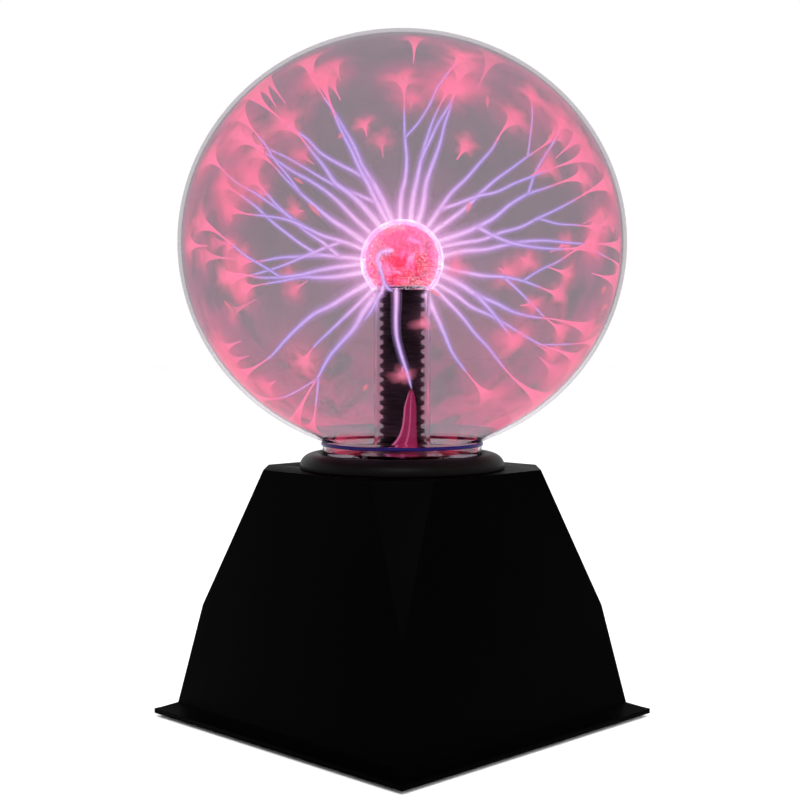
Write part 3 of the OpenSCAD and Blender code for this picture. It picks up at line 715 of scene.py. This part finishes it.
def makeFuzzTree():
    tree, sockets, given, out = newGeometryTree("pileOnSurface", {
        "Density": number, "Length": number, "Width": number,
        "Seed": "NodeSocketInt", "Finish": "NodeSocketMaterial"})
    spread = tree.nodes.new("GeometryNodeDistributePointsOnFaces")
    spike = tree.nodes.new("GeometryNodeMeshCone")
    spike.fill_type = "NONE"
    spike.inputs["Vertices"].default_value = 3
    spike.inputs["Radius Top"].default_value = 0.0
    size = tree.nodes.new("FunctionNodeRandomValue")
    size.data_type = "FLOAT"
    size.inputs[2].default_value = 0.35
    size.inputs[3].default_value = 1.0
    placed = tree.nodes.new("GeometryNodeInstanceOnPoints")
    real = tree.nodes.new("GeometryNodeRealizeInstances")
    paint = tree.nodes.new("GeometryNodeSetMaterial")
    wire(tree, given, "Geometry", spread, "Mesh")
    wire(tree, given, "Density", spread, "Density")
    wire(tree, given, "Seed", spread, "Seed")
    wire(tree, given, "Length", spike, "Depth")
    wire(tree, given, "Width", spike, "Radius Bottom")
    wire(tree, given, "Seed", size, "Seed")
    wire(tree, spread, "Points", placed, "Points")
    wire(tree, spread, "Rotation", placed, "Rotation")
    wire(tree, spike, "Mesh", placed, "Instance")
    wire(tree, size, 1, placed, "Scale")
    wire(tree, placed, "Instances", real, "Geometry")
    wire(tree, real, "Geometry", paint, "Geometry")
    wire(tree, given, "Finish", paint, "Material")
    wire(tree, paint, "Geometry", out, "Geometry")
    return tree, sockets


def fuzzFinish():
    mat, tree, out = newFinish("fuzzGlow")
    surface = addNode(tree, "ShaderNodeBsdfPrincipled", {
        "Base Color": (0, 0, 0, 1), "Specular IOR Level": 0.0, "Emission Strength": 3.4, "Alpha": 0.8})
    mask = groupNode(tree, cloudGroup, {"Cloud Scale": 120.0})
    tones = addNode(tree, "ShaderNodeValToRGB")
    setRamp(tones, [(0.0, (1.0, 0.40, 0.85)), (0.5, (1.0, 0.7, 0.98)), (1.0, (1.0, 0.92, 1.0))])
    wire(tree, mask, "Mask", tones, "Fac")
    wire(tree, tones, "Color", surface, "Emission Color")
    wire(tree, surface, 0, out, "Surface")
    return mat


def makeFuzz():
    # stands on the bulb only, down to where it meets the tube
    last = -math.degrees(math.acos(stem["tube"] / stem["bulb"]))
    spots = arcPoints((0, electrode.z), stem["bulb"] + 0.00005, last, 90, 30)[:-1]
    spots.append((0, electrode.z + stem["bulb"] + 0.00005))
    source = lathe("bulbFuzzGround", spots, 64)
    tree, sockets = makeFuzzTree()
    piece = grown(source, "bulbFuzz", tree, sockets, {
        "Density": fuzz["density"], "Length": fuzz["length"], "Width": fuzz["width"],
        "Seed": fuzz["seed"], "Finish": fuzzFinish()})
    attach(piece, base)


makeFuzz()
print("electrode packed")


# glowing filaments
pale = (0.96, 0.66, 1.0)
lavender = (0.60, 0.50, 1.0)
salmon = (1.0, 0.25, 0.37)
filaments = {
    "seed": 11,
    "strayFeet": 44,
    "flareLength": (0.014, 0.024),
    "flareSpread": (0.009, 0.016),
    "straySpread": (0.007, 0.012),
    "rootThick": 0.00076,
    "tipThick": 0.00027,
    "coreRamp": [(0.0, (1.0, 0.85, 1.0)), (0.12, pale), (0.34, (0.74, 0.56, 1.0)), (0.6, lavender),
                 (0.78, lavender),
                 (0.9, (0.95, 0.32, 0.52)), (1.0, salmon)],
    "glowRamp": [(0.0, (0.9, 0.5, 0.88)), (0.15, (0.70, 0.40, 0.80)), (0.36, (0.50, 0.33, 0.74)),
                 (0.7, (0.42, 0.31, 0.72)),
                 (0.86, (0.7, 0.22, 0.36)), (1.0, salmon)],
    "layers": [
        # name, width, sides, strength, alpha, ramp
        ("filamentCore", 1.0, 6, 2.3, 0.85, "coreRamp"),
        ("filamentSheath", 1.7, 8, 2.1, 0.34, "glowRamp"),
        ("filamentHalo", 2.7, 8, 2.0, 0.15, "glowRamp"),
        ("filamentOuterHalo", 4.4, 8, 2.0, 0.06, "glowRamp"),
    ],
    "trunks": 25,
    "bearings": (-54, 234),      # degrees from the right, round over the top; the stem stands between
    "forks": (0, 1, 1, 2),       # a trunk takes one of these
    "step": 9.0,                 # millimetres between the places where a way may turn
    "wander": 17,                # degrees that it may turn by at each
    "straighten": 0.3,           # share of that which it gives back at the next
    "forkTurn": (24, 42),        # degrees
    "ends": (0.70, 0.98),        # how far out a way ends, as a share of the way to the glass
}


# the two places where a line meets the globe's inner wall, or None
def wallHit(start, direction, gap=0.0006):
    a = globe["halfWidth"] - globe["wall"] - gap
    b = globe["halfHeight"] - globe["wall"] - gap
    d = Vector((direction.x / a, direction.y / a, direction.z / b))
    s = Vector((start.x / a, start.y / a, (start.z - globe["centre"]) / b))
    qa, qb, qc = d.dot(d), 2 * d.dot(s), s.dot(s) - 1
    under = qb * qb - 4 * qa * qc
    if under < 0:
        return None
    return [start + direction * ((-qb + sign * math.sqrt(under)) / (2 * qa)) for sign in (-1, 1)]


# where a way from the electrode meets the globe's inner wall
def insideWall(direction, gap=0.0006):
    return wallHit(electrode, direction, gap)[1]


def randomWay(dice, lowest, highest):
    rise = dice.uniform(lowest, highest)
    turn = dice.uniform(0, 2 * math.pi)
    level = math.sqrt(1 - rise * rise)
    return Vector((level * math.cos(turn), level * math.sin(turn), rise))


def heading(bearing, tilt):
    b, t = math.radians(bearing), math.radians(tilt)
    flat = toRight * math.cos(b) + up * math.sin(b)
    return (flat * math.cos(t) + toViewer * math.sin(t)).normalized()


def fromElectrode(right, rise, near=0.0):
    return electrode + (toRight * right + up * rise + toViewer * near) / 1000


viewerPlace = camera.location.copy()


# moves a place along the line of sight until it is the given distance nearer than the axis
def broughtNear(spot, near):
    sight = spot - viewerPlace
    level = -sight.dot(toViewer)
    return viewerPlace + sight * ((viewpoint["distance"] - near) / level)


def onBulb(right, rise, side):
    spot = fromElectrode(right, rise)
    radius = stem["bulb"] + 0.0003
    flat = (spot - electrode).length
    near = side * math.sqrt(max(0.0, radius ** 2 - flat ** 2))
    spot = broughtNear(spot, near)
    return electrode + (spot - electrode).normalized() * radius


def onWall(right, rise, side):
    for share in range(100, 60, -1):
        sight = fromElectrode(right * share / 100, rise * share / 100) - viewerPlace
        hit = wallHit(viewerPlace, sight)
        if hit:
            return hit[0] if side > 0 else hit[1]
    return None


def nearness(spot):
    return (spot - electrode).dot(toViewer)


# a rounded way through the given places
def rounded(places, steps=5):
    spots = []
    ends = [places[0] * 2 - places[1]] + places + [places[-1] * 2 - places[-2]]
    for a, b, c, d in zip(ends, ends[1:], ends[2:], ends[3:]):
        for i in range(steps):
            t = i / steps
            spots.append(0.5 * ((2 * b) + (c - a) * t + (2 * a - 5 * b + 4 * c - d) * t * t
                                + (3 * b - a - 3 * c + d) * t ** 3))
    spots.append(places[-1])
    return spots


def lengths(spots):
    run = [0.0]
    for a, b in zip(spots, spots[1:]):
        run.append(run[-1] + (b - a).length)
    return run


# a trumpet that opens on to the glass in a torn star
def addFlare(build, neck, foot, thick, spread, dice, strength=1.0):
    path = rounded(neck + [foot], 4) if len(neck) > 1 else [neck[0], foot]
    run = lengths(path)
    sides, steps = 22, 14
    lobes = dice.randint(3, 6)
    phases = [2 * math.pi * (n + dice.uniform(-0.3, 0.3)) / lobes for n in range(lobes)]
    turn = dice.uniform(0, 2 * math.pi)
    reach = [dice.uniform(0.35, 1.0) for _ in range(lobes)]
    inward = (electrode - foot).normalized()
    side = inward.orthogonal().normalized()
    other = inward.cross(side)
    rings = []
    for k in range(steps + 1):
        s = k / steps
        goal = run[-1] * min(1.0, s * 1.06)
        n = max(i for i in range(len(run)) if run[i] <= goal + 1e-12)
        if n >= len(path) - 1:
            centre = path[-1]
        else:
            centre = path[n].lerp(path[n + 1], (goal - run[n]) / max(run[n + 1] - run[n], 1e-9))
        ring = []
        for j in range(sides):
            a = 2 * math.pi * j / sides
            spike = 0.0
            for phase, far in zip(phases, reach):
                spike = max(spike, far * max(0.0, math.cos(a - phase - turn)) ** 6)
            radius = thick + spread * (0.16 * s ** 2 + 0.16 * s ** 5 + 0.80 * s ** 7 * spike)
            spot = centre + (side * math.cos(a) + other * math.sin(a)) * radius
            # the mouth lies against the glass
            rest = insideWall((spot - electrode).normalized())
            spot = spot.lerp(rest, max(0.0, (s - 0.6) / 0.4) ** 2)
            thin = max(0.0, (s - 0.62) / 0.38)
            ring.append(addPoint(build, spot, 0.86 + 0.14 * s, strength * (1 - 0.97 * thin ** 1.6)))
        rings.append(ring)
    addStrips(build, rings[::-1])
    # a soft heart on the glass
    heart = addPoint(build, insideWall((foot - electrode).normalized(), 0.0009), 1.0, strength)
    size = thick + spread * 0.30
    lip = []
    for j in range(sides):
        a = 2 * math.pi * j / sides
        spot = foot + (side * math.cos(a) + other * math.sin(a)) * size
        lip.append(addPoint(build, insideWall((spot - electrode).normalized(), 0.0009), 0.95, 0.0))
    addStrips(build, [[heart], lip])


# one way outwards, as seen from the front corner, in millimetres right of and above the electrode
def wanderOut(dice, start, bearing):
    end = dice.uniform(*filaments["ends"]) * (insideWall(heading(bearing, 0)) - electrode).length * 1000
    turn = bearing
    marks = [start]
    while math.hypot(*marks[-1]) < end or len(marks) < 4:
        turn += dice.uniform(-filaments["wander"], filaments["wander"])
        turn += (bearing - turn) * filaments["straighten"]
        right, rise = marks[-1]
        t = math.radians(turn)
        marks.append((right + filaments["step"] * math.cos(t), rise + filaments["step"] * math.sin(t)))
    return marks


# trunks all round the bulb and the forks on them; 1 ends on the near side of the glass, -1 on the far side
def planWays():
    dice = random.Random(filaments["seed"] + 1)
    lowest, highest = filaments["bearings"]
    root = stem["bulb"] * 1000 + 1
    ways = []
    for n in range(filaments["trunks"]):
        spread = (n + dice.uniform(-0.3, 0.3)) / (filaments["trunks"] - 1)
        bearing = lowest + (highest - lowest) * spread
        t = math.radians(bearing)
        side = dice.choice((1, -1))
        trunk = wanderOut(dice, (root * math.cos(t), root * math.sin(t)), bearing)
        ways.append((side, trunk))
        for k in range(dice.choice(filaments["forks"])):
            mark = trunk[dice.randint(1, len(trunk) - 3)]
            away = dice.choice((1, -1)) * dice.uniform(*filaments["forkTurn"])
            outward = math.degrees(math.atan2(mark[1], mark[0]))
            ways.append((dice.choice((side, -side)), wanderOut(dice, mark, outward + away)))
    return ways


def growFilaments():
    dice = random.Random(filaments["seed"])
    known = {}
    chains, feet, flares = [], [], newBuild()
    for side, marks in planWays():
        first, last = marks[0], marks[-1]
        branch = first in known
        if branch:
            start, startWarmth, startThick = known[first]
        else:
            start, startWarmth = onBulb(*first, side), 0.0
            startThick = filaments["rootThick"] * dice.uniform(0.85, 1.5)
        end = onWall(*last, side)
        flat = lengths([fromElectrode(*mark) for mark in marks])
        places = [start]
        for mark, run in zip(marks[1:-1], flat[1:]):
            share = run / flat[-1]
            near = nearness(start) + (nearness(end) - nearness(start)) * share ** 1.2
            near += 0.004 * noise(Vector((mark[0], mark[1], side)) * 0.07) * math.sin(math.pi * share)
            places.append(broughtNear(fromElectrode(*mark), near))
        places.append(end)
        spots = rounded(places)
        run = lengths(spots)
        tip = min(startThick * 0.8, filaments["tipThick"] * dice.uniform(0.85, 1.35))
        # the last part opens into a flare
        flare = min(run[-1] * 0.45, dice.uniform(*filaments["flareLength"]))
        body = max(run[-1] - flare, 1e-6)
        chain, neck = [], []
        for i, (spot, way) in enumerate(zip(spots, run)):
            share = min(1.0, way / body)
            warmth = startWarmth + (0.80 - startWarmth) * share
            thick = startThick * (0.8 if branch else 1.0)
            thick += (tip - thick) * share ** 0.8
            if way <= body + 1e-9:
                chain.append((spot, warmth, thick))
            elif i < len(spots) - 1:
                neck.append(spot)
        chains.append(chain)
        for mark, place in zip(marks[1:-1], places[1:-1]):
            near = min(range(len(chain)), key=lambda i: (chain[i][0] - place).length)
            known[mark] = chain[near]
        chain.append((neck[0] if neck else end, 0.9, tip))
        spread = dice.uniform(*filaments["flareSpread"])
        addFlare(flares, neck or [chain[-1][0]], end, tip, spread, dice)
        feet.append((end, spread))
    # feet of filaments too faint to follow
    for _ in range(filaments["strayFeet"]):
        end = insideWall(randomWay(dice, -0.7, 0.95))
        spread = dice.uniform(*filaments["straySpread"])
        start = end.lerp(electrode, dice.uniform(0.06, 0.16)) + up * dice.uniform(-0.003, 0.003)
        addFlare(flares, [start], end, filaments["tipThick"], spread, dice, dice.uniform(0.45, 1.0))
        feet.append((end, spread * 0.8))
    return chains, flares, feet


# sweeps a round section along the chains of a mesh, with its thick attribute as the radius
def makeTubeTree():
    tree, sockets, given, out = newGeometryTree("tubesAlongChains", {
        "Width": number, "Sides": "NodeSocketInt", "Finish": "NodeSocketMaterial"})
    curves = tree.nodes.new("GeometryNodeMeshToCurve")
    thick = tree.nodes.new("GeometryNodeInputNamedAttribute")
    thick.data_type = "FLOAT"
    thick.inputs["Name"].default_value = "thick"
    wide = addNode(tree, "ShaderNodeMath", operation="MULTIPLY")
    sized = tree.nodes.new("GeometryNodeSetCurveRadius")
    section = tree.nodes.new("GeometryNodeCurvePrimitiveCircle")
    section.inputs["Radius"].default_value = 1.0
    tube = tree.nodes.new("GeometryNodeCurveToMesh")
    tube.inputs["Fill Caps"].default_value = True
    smooth = tree.nodes.new("GeometryNodeSetShadeSmooth")
    real = tree.nodes.new("GeometryNodeRealizeInstances")
    paint = tree.nodes.new("GeometryNodeSetMaterial")
    wire(tree, given, "Geometry", curves, "Mesh")
    wire(tree, curves, "Curve", sized, "Curve")
    wire(tree, thick, "Attribute", wide, 0)
    wire(tree, given, "Width", wide, 1)
    wire(tree, wide, 0, sized, "Radius")
    wire(tree, given, "Sides", section, "Resolution")
    wire(tree, sized, "Curve", tube, "Curve")
    wire(tree, section, "Curve", tube, "Profile Curve")
    if "Scale" in tube.inputs:          # where the tube takes its width from this and not from the curve
        wire(tree, wide, 0, tube, "Scale")
    wire(tree, tube, "Mesh", smooth, "Geometry")
    wire(tree, smooth, "Geometry", real, "Geometry")
    wire(tree, real, "Geometry", paint, "Geometry")
    wire(tree, given, "Finish", paint, "Material")
    wire(tree, paint, "Geometry", out, "Geometry")
    return tree, sockets


tubeTree, tubeSockets = makeTubeTree()


def chainMesh(name, chains):
    spots, edges, warmth, thick = [], [], [], []
    for chain in chains:
        first = len(spots)
        for spot, warm, wide in chain:
            spots.append(tuple(spot))
            warmth.append(warm)
            thick.append(wide)
        edges += [(first + i, first + i + 1) for i in range(len(chain) - 1)]
    mesh = bpy.data.meshes.new(name)
    mesh.from_pydata(spots, edges, [])
    for label, values in (("warmth", warmth), ("fade", [1.0] * len(spots)), ("thick", thick)):
        layer = mesh.attributes.new(label, "FLOAT", "POINT")
        layer.data.foreach_set("value", values)
    return mesh


def makeTubes(name, chains, width, sides, mat):
    source = linked(name + "Ways", chainMesh(name, chains))
    piece = grown(source, name, tubeTree, tubeSockets, {"Width": width, "Sides": sides, "Finish": mat})
    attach(piece, base)
    return piece


chains, flares, feet = growFilaments()

# the filament that hooks over the electrode's near side and runs down the stem to its floor:
# (right, up, nearer) in millimetres from the electrode's centre, and its thickness
hook = {
    "thick": (0.00062, 0.00042),
    "ways": [
        [(-3.5, 3.8, 18.2), (-6, 3.6, 17.8), (-9, 3, 16.4), (-10.6, 1, 15.4), (-10.2, -2, 15.6),
         (-9, -6, 15.4),
         (-8, -10, 14.2), (-6.5, -12.5, 13.6), (-4, -14, 13.4)],
        [(-2.6, -12.4, 14.2), (-2.6, -15, 13.4), (-2.6, -20, 13.3), (-2.8, -27, 13.3), (-2.4, -34, 13.3),
         (-0.4, -42, 13.4), (2.2, -50, 13.3), (4.2, -57, 13.0)],
        [(-8, -10, 14.2), (-9, -14, 11.4), (-10.5, -16, 9.4), (-13.5, -22, 7.0), (-17, -27, 6.0)],
    ],
}


def hookChain(way):
    spots = rounded([fromElectrode(*spot) for spot in way])
    last = len(spots) - 1
    first, end = hook["thick"]
    chain = []
    for i, spot in enumerate(spots):
        tapered = min(1.0, 0.2 + 0.2 * min(i, last - i))     # thin at both ends
        chain.append((spot, 0.03 + 0.5 * i / last, (first + (end - first) * i / last) * tapered))
    return chain


chains += [hookChain(way) for way in hook["ways"]]


# short dashes of light that float by the glass
dashes = {"seed": 23, "count": 24, "length": (0.004, 0.008), "thick": (0.0006, 0.0011)}


def dashChains():
    dice = random.Random(dashes["seed"])
    found = []
    for _ in range(dashes["count"]):
        foot = insideWall(randomWay(dice, -0.75, 0.97), 0.002)
        out = (foot - electrode).normalized()
        lie = out.orthogonal().normalized()
        lie = Matrix.Rotation(dice.uniform(0, 2 * math.pi), 3, out) @ lie
        lie = (lie + out * dice.uniform(-0.8, -0.1)).normalized()
        length, wide = dice.uniform(*dashes["length"]), dice.uniform(*dashes["thick"])
        chain = []
        for i in range(10):
            share = i / 9
            girth = math.sin(math.pi * min(1.0, (i + 0.15) / 9)) ** 0.9 * (1 - 0.5 * share)
            chain.append((foot + lie * length * share, 1.0 - 0.1 * share, wide * girth + 0.00002))
        found.append(chain)
    return found


dashWays = dashChains()
for label, width, sides, strength, alpha, ramp in filaments["layers"]:
    mat = glowFinish(label + "Glow", filaments[ramp], strength, alpha)
    makeTubes(label, chains, width, sides, mat)
dashRamp = [(0.0, salmon), (1.0, (1.0, 0.27, 0.33))]
makeTubes("glassDashes", dashWays, 0.8, 8, glowFinish("dashGlow", dashRamp, 2.1, 0.3))
makeTubes("glassDashHalo", dashWays, 1.5, 8, glowFinish("dashHaloGlow", dashRamp, 2.0, 0.16))

flareRamp = [(0.0, (0.9, 0.25, 0.5)), (0.88, (0.97, 0.26, 0.46)), (0.93, (1.0, 0.25, 0.40)),
             (1.0, salmon)]
flareGlow = glowFinish("flareGlow", flareRamp, 2.2, 0.74)
flarePiece = linked("filamentFlares", builtMesh("filamentFlares", flares), flareGlow)
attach(flarePiece, base)
print("filaments grown:", len(chains), "ways,", len(feet), "feet")


# the thin glow on the inside of the glass
haze = {
    "gap": 0.0022,         # to the glass
    "rings": 90,
    "turns": 150,
    "floor": 0.06,         # strength where nothing else adds to it
    "aroundFeet": 0.6,
    "below": 0.55,
    # bearing, tilt, reach in metres, strength
    "patches": [
        (228, 0, 0.030, 0.55), (212, 10, 0.028, 0.45), (198, -10, 0.022, 0.35), (243, 0, 0.030, 0.5),
        (-42, 0, 0.032, 0.5), (-26, 10, 0.026, 0.38), (-58, 0, 0.028, 0.45), (-12, -10, 0.022, 0.3),
        (50, 0, 0.024, 0.5), (42, 15, 0.020, 0.4), (10, 0, 0.018, 0.35), (25, 0, 0.016, 0.3),
        (155, 0, 0.020, 0.3), (172, 0, 0.016, 0.3), (120, 0, 0.014, 0.3), (82, 0, 0.014, 0.35),
    ],
}


def makeHaze():
    build = newBuild()
    a = globe["halfWidth"] - haze["gap"]
    b = globe["halfHeight"] - haze["gap"]
    patches = [(insideWall(heading(turn, tilt)), reach, strength) for turn, tilt, reach,
               strength in haze["patches"]]
    patches += [(foot, spread * 0.9, haze["aroundFeet"]) for foot, spread in feet]
    rings, turns = haze["rings"], haze["turns"]
    rows = []
    for i in range(rings + 1):
        t = math.acos(max(-0.90, 1 - 1.90 * i / rings)) if i else 0.0
        row = []
        for j in range(turns if i else 1):
            p = 2 * math.pi * j / turns
            level = a * math.sin(t)
            spot = Vector((level * math.cos(p), level * math.sin(p), globe["centre"] + b * math.cos(t)))
            glow = haze["floor"]
            for place, reach, strength in patches:
                gap = (spot - place).length_squared / reach ** 2
                if gap < 9:
                    glow += strength * math.exp(-gap)
            # the lower part glows at the sides and at the back
            sink = (globe["centre"] - spot.z) / b
            facing = max(0.0, spot.dot(toViewer) / a)
            glow += haze["below"] * max(0.0, sink) ** 1.2 * (1 - facing) ** 2
            if abs(spot.dot(toRight)) < 0.014 and facing > 0 and spot.z < electrode.z - 0.012:
                glow *= 0.2          # the sleeve is seen clear of it
            row.append(addPoint(build, spot, min(1.0, glow), min(1.0, glow)))
        rows.append(row)
    addStrips(build, rows)
    ramp = [(0.0, (0.6, 0.27, 0.43)), (0.3, (0.88, 0.25, 0.42)), (0.7, (1.0, 0.23, 0.38)), (1.0, salmon)]
    mat = glowFinish("hazeGlow", ramp, 1.9, 0.68, {"Cloud Scale": 48.0, "Tear": 0.5, "Thin": 0.26,
                                                   "Thick": 0.62})
    piece = linked("glassHaze", builtMesh("glassHaze", build), mat)
    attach(piece, base)


makeHaze()


# the glow of the gas round the electrode, in thin layers that fade outwards
halo = {"from": 0.0192, "to": 0.047, "layers": 12, "rings": 28, "turns": 48, "strength": 0.065,
        "fall": 0.011}


def makeHalo():
    build = newBuild()
    rings, turns = halo["rings"], halo["turns"]
    for n in range(halo["layers"]):
        radius = halo["from"] + (halo["to"] - halo["from"]) * n / (halo["layers"] - 1)
        glow = math.exp((halo["from"] - radius) / halo["fall"])
        rows = []
        for i in range(rings + 1):
            t = math.pi * i / rings
            row = []
            for j in range(turns if 0 < i < rings else 1):
                p = 2 * math.pi * j / turns
                way = Vector((math.sin(t) * math.cos(p), math.sin(t) * math.sin(p), math.cos(t)))
                # nothing glows in front of the sleeve
                beside = min(1.0, abs(way.dot(toRight)) * radius / 0.014) if way.z < 0.1 else 1.0
                below = 1.0 if way.z > -0.2 else max(0.0, 1 + (way.z + 0.2) * 1.3)
                fade = glow * below * beside ** 4
                row.append(addPoint(build, electrode + way * radius, min(1.0, glow), fade))
            rows.append(row)
        addStrips(build, rows)
    ramp = [(0.0, (0.75, 0.32, 0.62)), (0.5, (0.9, 0.38, 0.8)), (1.0, (1.0, 0.5, 0.95))]
    mat = glowFinish("haloGlow", ramp, 2.0, halo["strength"], {"Cloud Scale": 60.0, "Tear": 0.4,
                                                               "Thin": 0.2, "Thick": 0.6})
    piece = linked("electrodeHalo", builtMesh("electrodeHalo", build), mat)
    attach(piece, base)


makeHalo()


# the flare at the foot of the hooked filament, spread over the stem tube, with a painted highlight of the
# tube down its middle
stemFlareWithHighlight = {"top": electrode.z - 0.0573, "radius": 0.01295, "rows": 28, "columns": 24}


def makeStemFlareWithHighlight():
    build = newBuild()
    bottom = stem["floor"] + 0.0008
    rows = []
    for i in range(stemFlareWithHighlight["rows"] + 1):
        v = i / stemFlareWithHighlight["rows"]
        z = stemFlareWithHighlight["top"] + (bottom - stemFlareWithHighlight["top"]) * v
        opened = min(1.0, v / 0.3) ** 0.7
        rise = z - stem["floor"]
        # its edges, right of the axis: narrow at the top, swept out over the floor
        widestLeft = max(-0.009, 0.0008 - 0.0053 * math.exp((0.004 - rise) / 0.005))
        widestRight = 0.0065 + 0.0015 * math.exp(-rise / 0.004)
        left = 0.0036 + (widestLeft - 0.0036) * opened
        right = 0.0048 + (widestRight - 0.0048) * opened
        radius = stemFlareWithHighlight["radius"]
        under = stem["flare"] - rise
        if under > 0:
            radius += stem["flare"] - math.sqrt(stem["flare"] ** 2 - under ** 2)
        row = []
        for j in range(stemFlareWithHighlight["columns"] + 1):
            u = 2 * j / stemFlareWithHighlight["columns"] - 1
            place = (left + right) / 2 + u * (right - left) / 2
            turn = math.asin(max(-0.95, min(0.95, place / radius)))
            spot = toRight * (radius * math.sin(turn)) + toViewer * (radius * math.cos(turn)) + up * z
            # a bright left edge of the flare, and down the middle a finer line that is a painted highlight
            # of the stem glass
            edge = max(math.exp(-((u + 0.84) / 0.13) ** 2), 0.7 * math.exp(-((u - 0.05) / 0.09) ** 2))
            fade = (0.5 + 0.5 * edge) * (1 - abs(u) ** 12) * min(1.0, v * 8 + 0.4)
            row.append(addPoint(build, spot, 0.15 + 0.85 * edge, fade))
        rows.append(row)
    addStrips(build, rows, ring=False)
    ramp = [(0.0, (0.72, 0.04, 0.17)), (0.3, (0.86, 0.07, 0.26)), (1.0, (1.0, 0.27, 0.55))]
    mat = glowFinish("stemFlareGlowAndPaintedHighlight", ramp, 1.5, 0.8)
    piece = linked("stemFlareWithHighlight", builtMesh("stemFlareWithHighlight", build), mat)
    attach(piece, base)


# painted reflection of the discharge's red light in the neck glass, above and below the blue band
bandLow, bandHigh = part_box("neck_band")
neckPaintedReflection = {"radius": 0.0341, "low": bandLow.z - 0.0035, "high": bandHigh.z + 0.003, "rows": 12,
            "columns": 160}


def makeNeckPaintedReflection():
    build = newBuild()
    rows = []
    for i in range(neckPaintedReflection["rows"] + 1):
        v = i / neckPaintedReflection["rows"]
        z = neckPaintedReflection["low"] + (neckPaintedReflection["high"] - neckPaintedReflection["low"]) * v
        row = []
        for j in range(neckPaintedReflection["columns"]):
            turn = 2 * math.pi * j / neckPaintedReflection["columns"]
            out = Vector((math.cos(turn), math.sin(turn), 0))
            patch = 0.5 + 0.9 * noise(out * 2.6 + Vector((3, 1, 0)))
            # painted reflection: brightest at the left and right of the neck as the camera sees it
            sideways = abs(out.dot(toRight)) ** 3
            fade = math.sin(math.pi * v) ** 1.5 * max(0.0, patch) * (0.25 + 0.75 * sideways)
            row.append(addPoint(build, out * neckPaintedReflection["radius"] + up * z, 0.3 + 0.7 * sideways,
                                min(1.0, fade)))
        rows.append(row)
    addStrips(build, rows[::-1])
    ramp = [(0.0, (0.6, 0.02, 0.06)), (1.0, (1.0, 0.10, 0.22))]
    mat = glowFinish("neckPaintedReflectionGlow", ramp, 2.2, 0.8, {"Cloud Scale": 90.0, "Tear": 1.0, "Thin": 0.3,
                                                       "Thick": 0.62})
    piece = linked("neckPaintedReflection", builtMesh("neckPaintedReflection", build), mat)
    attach(piece, base)


makeStemFlareWithHighlight()
makeNeckPaintedReflection()
print("haze laid on the glass")


# housing
housing = {"edge": 0.0008, "tone": 0.0002, "secondTone": 0.0005}
housingFinish = mouldedFinish("housingPlastic", grey(housing["tone"]), grey(housing["secondTone"]),
                              (0.40, 0.50), 1700.0, 0.1, 0.005)
shell = softened("base_shell", "baseShell", housingFinish, housing["edge"])


# finishes of the CAD nodes that stay, by material slot
finishes = {
    "black_rubber": mouldedFinish("blackRubber", grey(0.014), grey(0.024), (0.7, 0.88), 1100.0, 0.18),
    "lead_rubber": mouldedFinish("leadInsulation", (0.36, 0.02, 0.018), (0.3, 0.015, 0.014), (0.4, 0.55)),
    "cover_plastic": mouldedFinish("coverPlastic", grey(0.012), grey(0.018), (0.55, 0.7), 1300.0, 0.2),
    "panel_plastic": mouldedFinish("panelPlastic", (0.018, 0.018, 0.019), (0.026, 0.026, 0.027),
                                   (0.5, 0.65), 1900.0, 0.2),
    "black_plastic": mouldedFinish("blackPlastic", (0.012, 0.012, 0.013), (0.02, 0.02, 0.021),
                                   (0.35, 0.5)),
    "lever_plastic": mouldedFinish("leverPlastic", (0.62, 0.62, 0.6), (0.52, 0.52, 0.5), (0.3, 0.42),
                                   1500.0, 0.05, 0.45),
    "board_laminate": mouldedFinish("boardLaminate", (0.012, 0.10, 0.035), (0.008, 0.07, 0.025),
                                    (0.22, 0.35), 700.0, 0.05, 0.5),
    "ferrite": mouldedFinish("ferrite", (0.03, 0.03, 0.034), (0.05, 0.05, 0.055), (0.5, 0.7), 1200.0,
                             0.2),
    "coil_resin": mouldedFinish("coilResin", (0.012, 0.012, 0.015), (0.02, 0.02, 0.024), (0.18, 0.3),
                                300.0, 0.06, 0.5),
    "capacitor_sleeve": mouldedFinish("capacitorSleeve", (0.01, 0.014, 0.07), (0.014, 0.02, 0.09),
                                      (0.2, 0.3), 400.0, 0.04, 0.5),
    "resistor_body": mouldedFinish("resistorBody", (0.48, 0.36, 0.18), (0.4, 0.3, 0.15), (0.35, 0.5),
                                   800.0, 0.1),
    "wire_red": mouldedFinish("redWire", (0.36, 0.02, 0.018), (0.28, 0.015, 0.014), (0.35, 0.5)),
    "wire_grey": mouldedFinish("greyWire", (0.09, 0.09, 0.1), (0.06, 0.06, 0.07), (0.35, 0.5)),
    "steel": metalFinish("zincSteel", (0.58, 0.59, 0.6), (0.42, 0.43, 0.45)),
    "nickel": metalFinish("nickelPlate", (0.72, 0.7, 0.66), (0.62, 0.6, 0.57), (0.1, 0.22), 500.0, 0.04),
    "brass": metalFinish("turnedBrass", (0.75, 0.5, 0.2), (0.6, 0.4, 0.15)),
    "aluminium": metalFinish("drawnAluminium", (0.74, 0.75, 0.77), (0.62, 0.63, 0.66), (0.3, 0.5),
                             240.0, 0.12),
    "copper_winding": metalFinish("enamelledCopper", (0.62, 0.24, 0.1), (0.4, 0.13, 0.05), (0.25, 0.4),
                                  900.0, 0.3),
    "fuse_glass": glassFinish("fuseGlass", (0.9, 0.93, 0.9), (0.84, 0.88, 0.85)),
}
slotOf = {p["node"]: p["material_slot"] for p in frame["record"]["subparts"]}
for node, piece in frame["nodes"].items():
    finish = finishes.get(slotOf[node])
    if finish is not None:
        piece.data.materials.clear()
        piece.data.materials.append(finish)
print("housing and fittings finished")
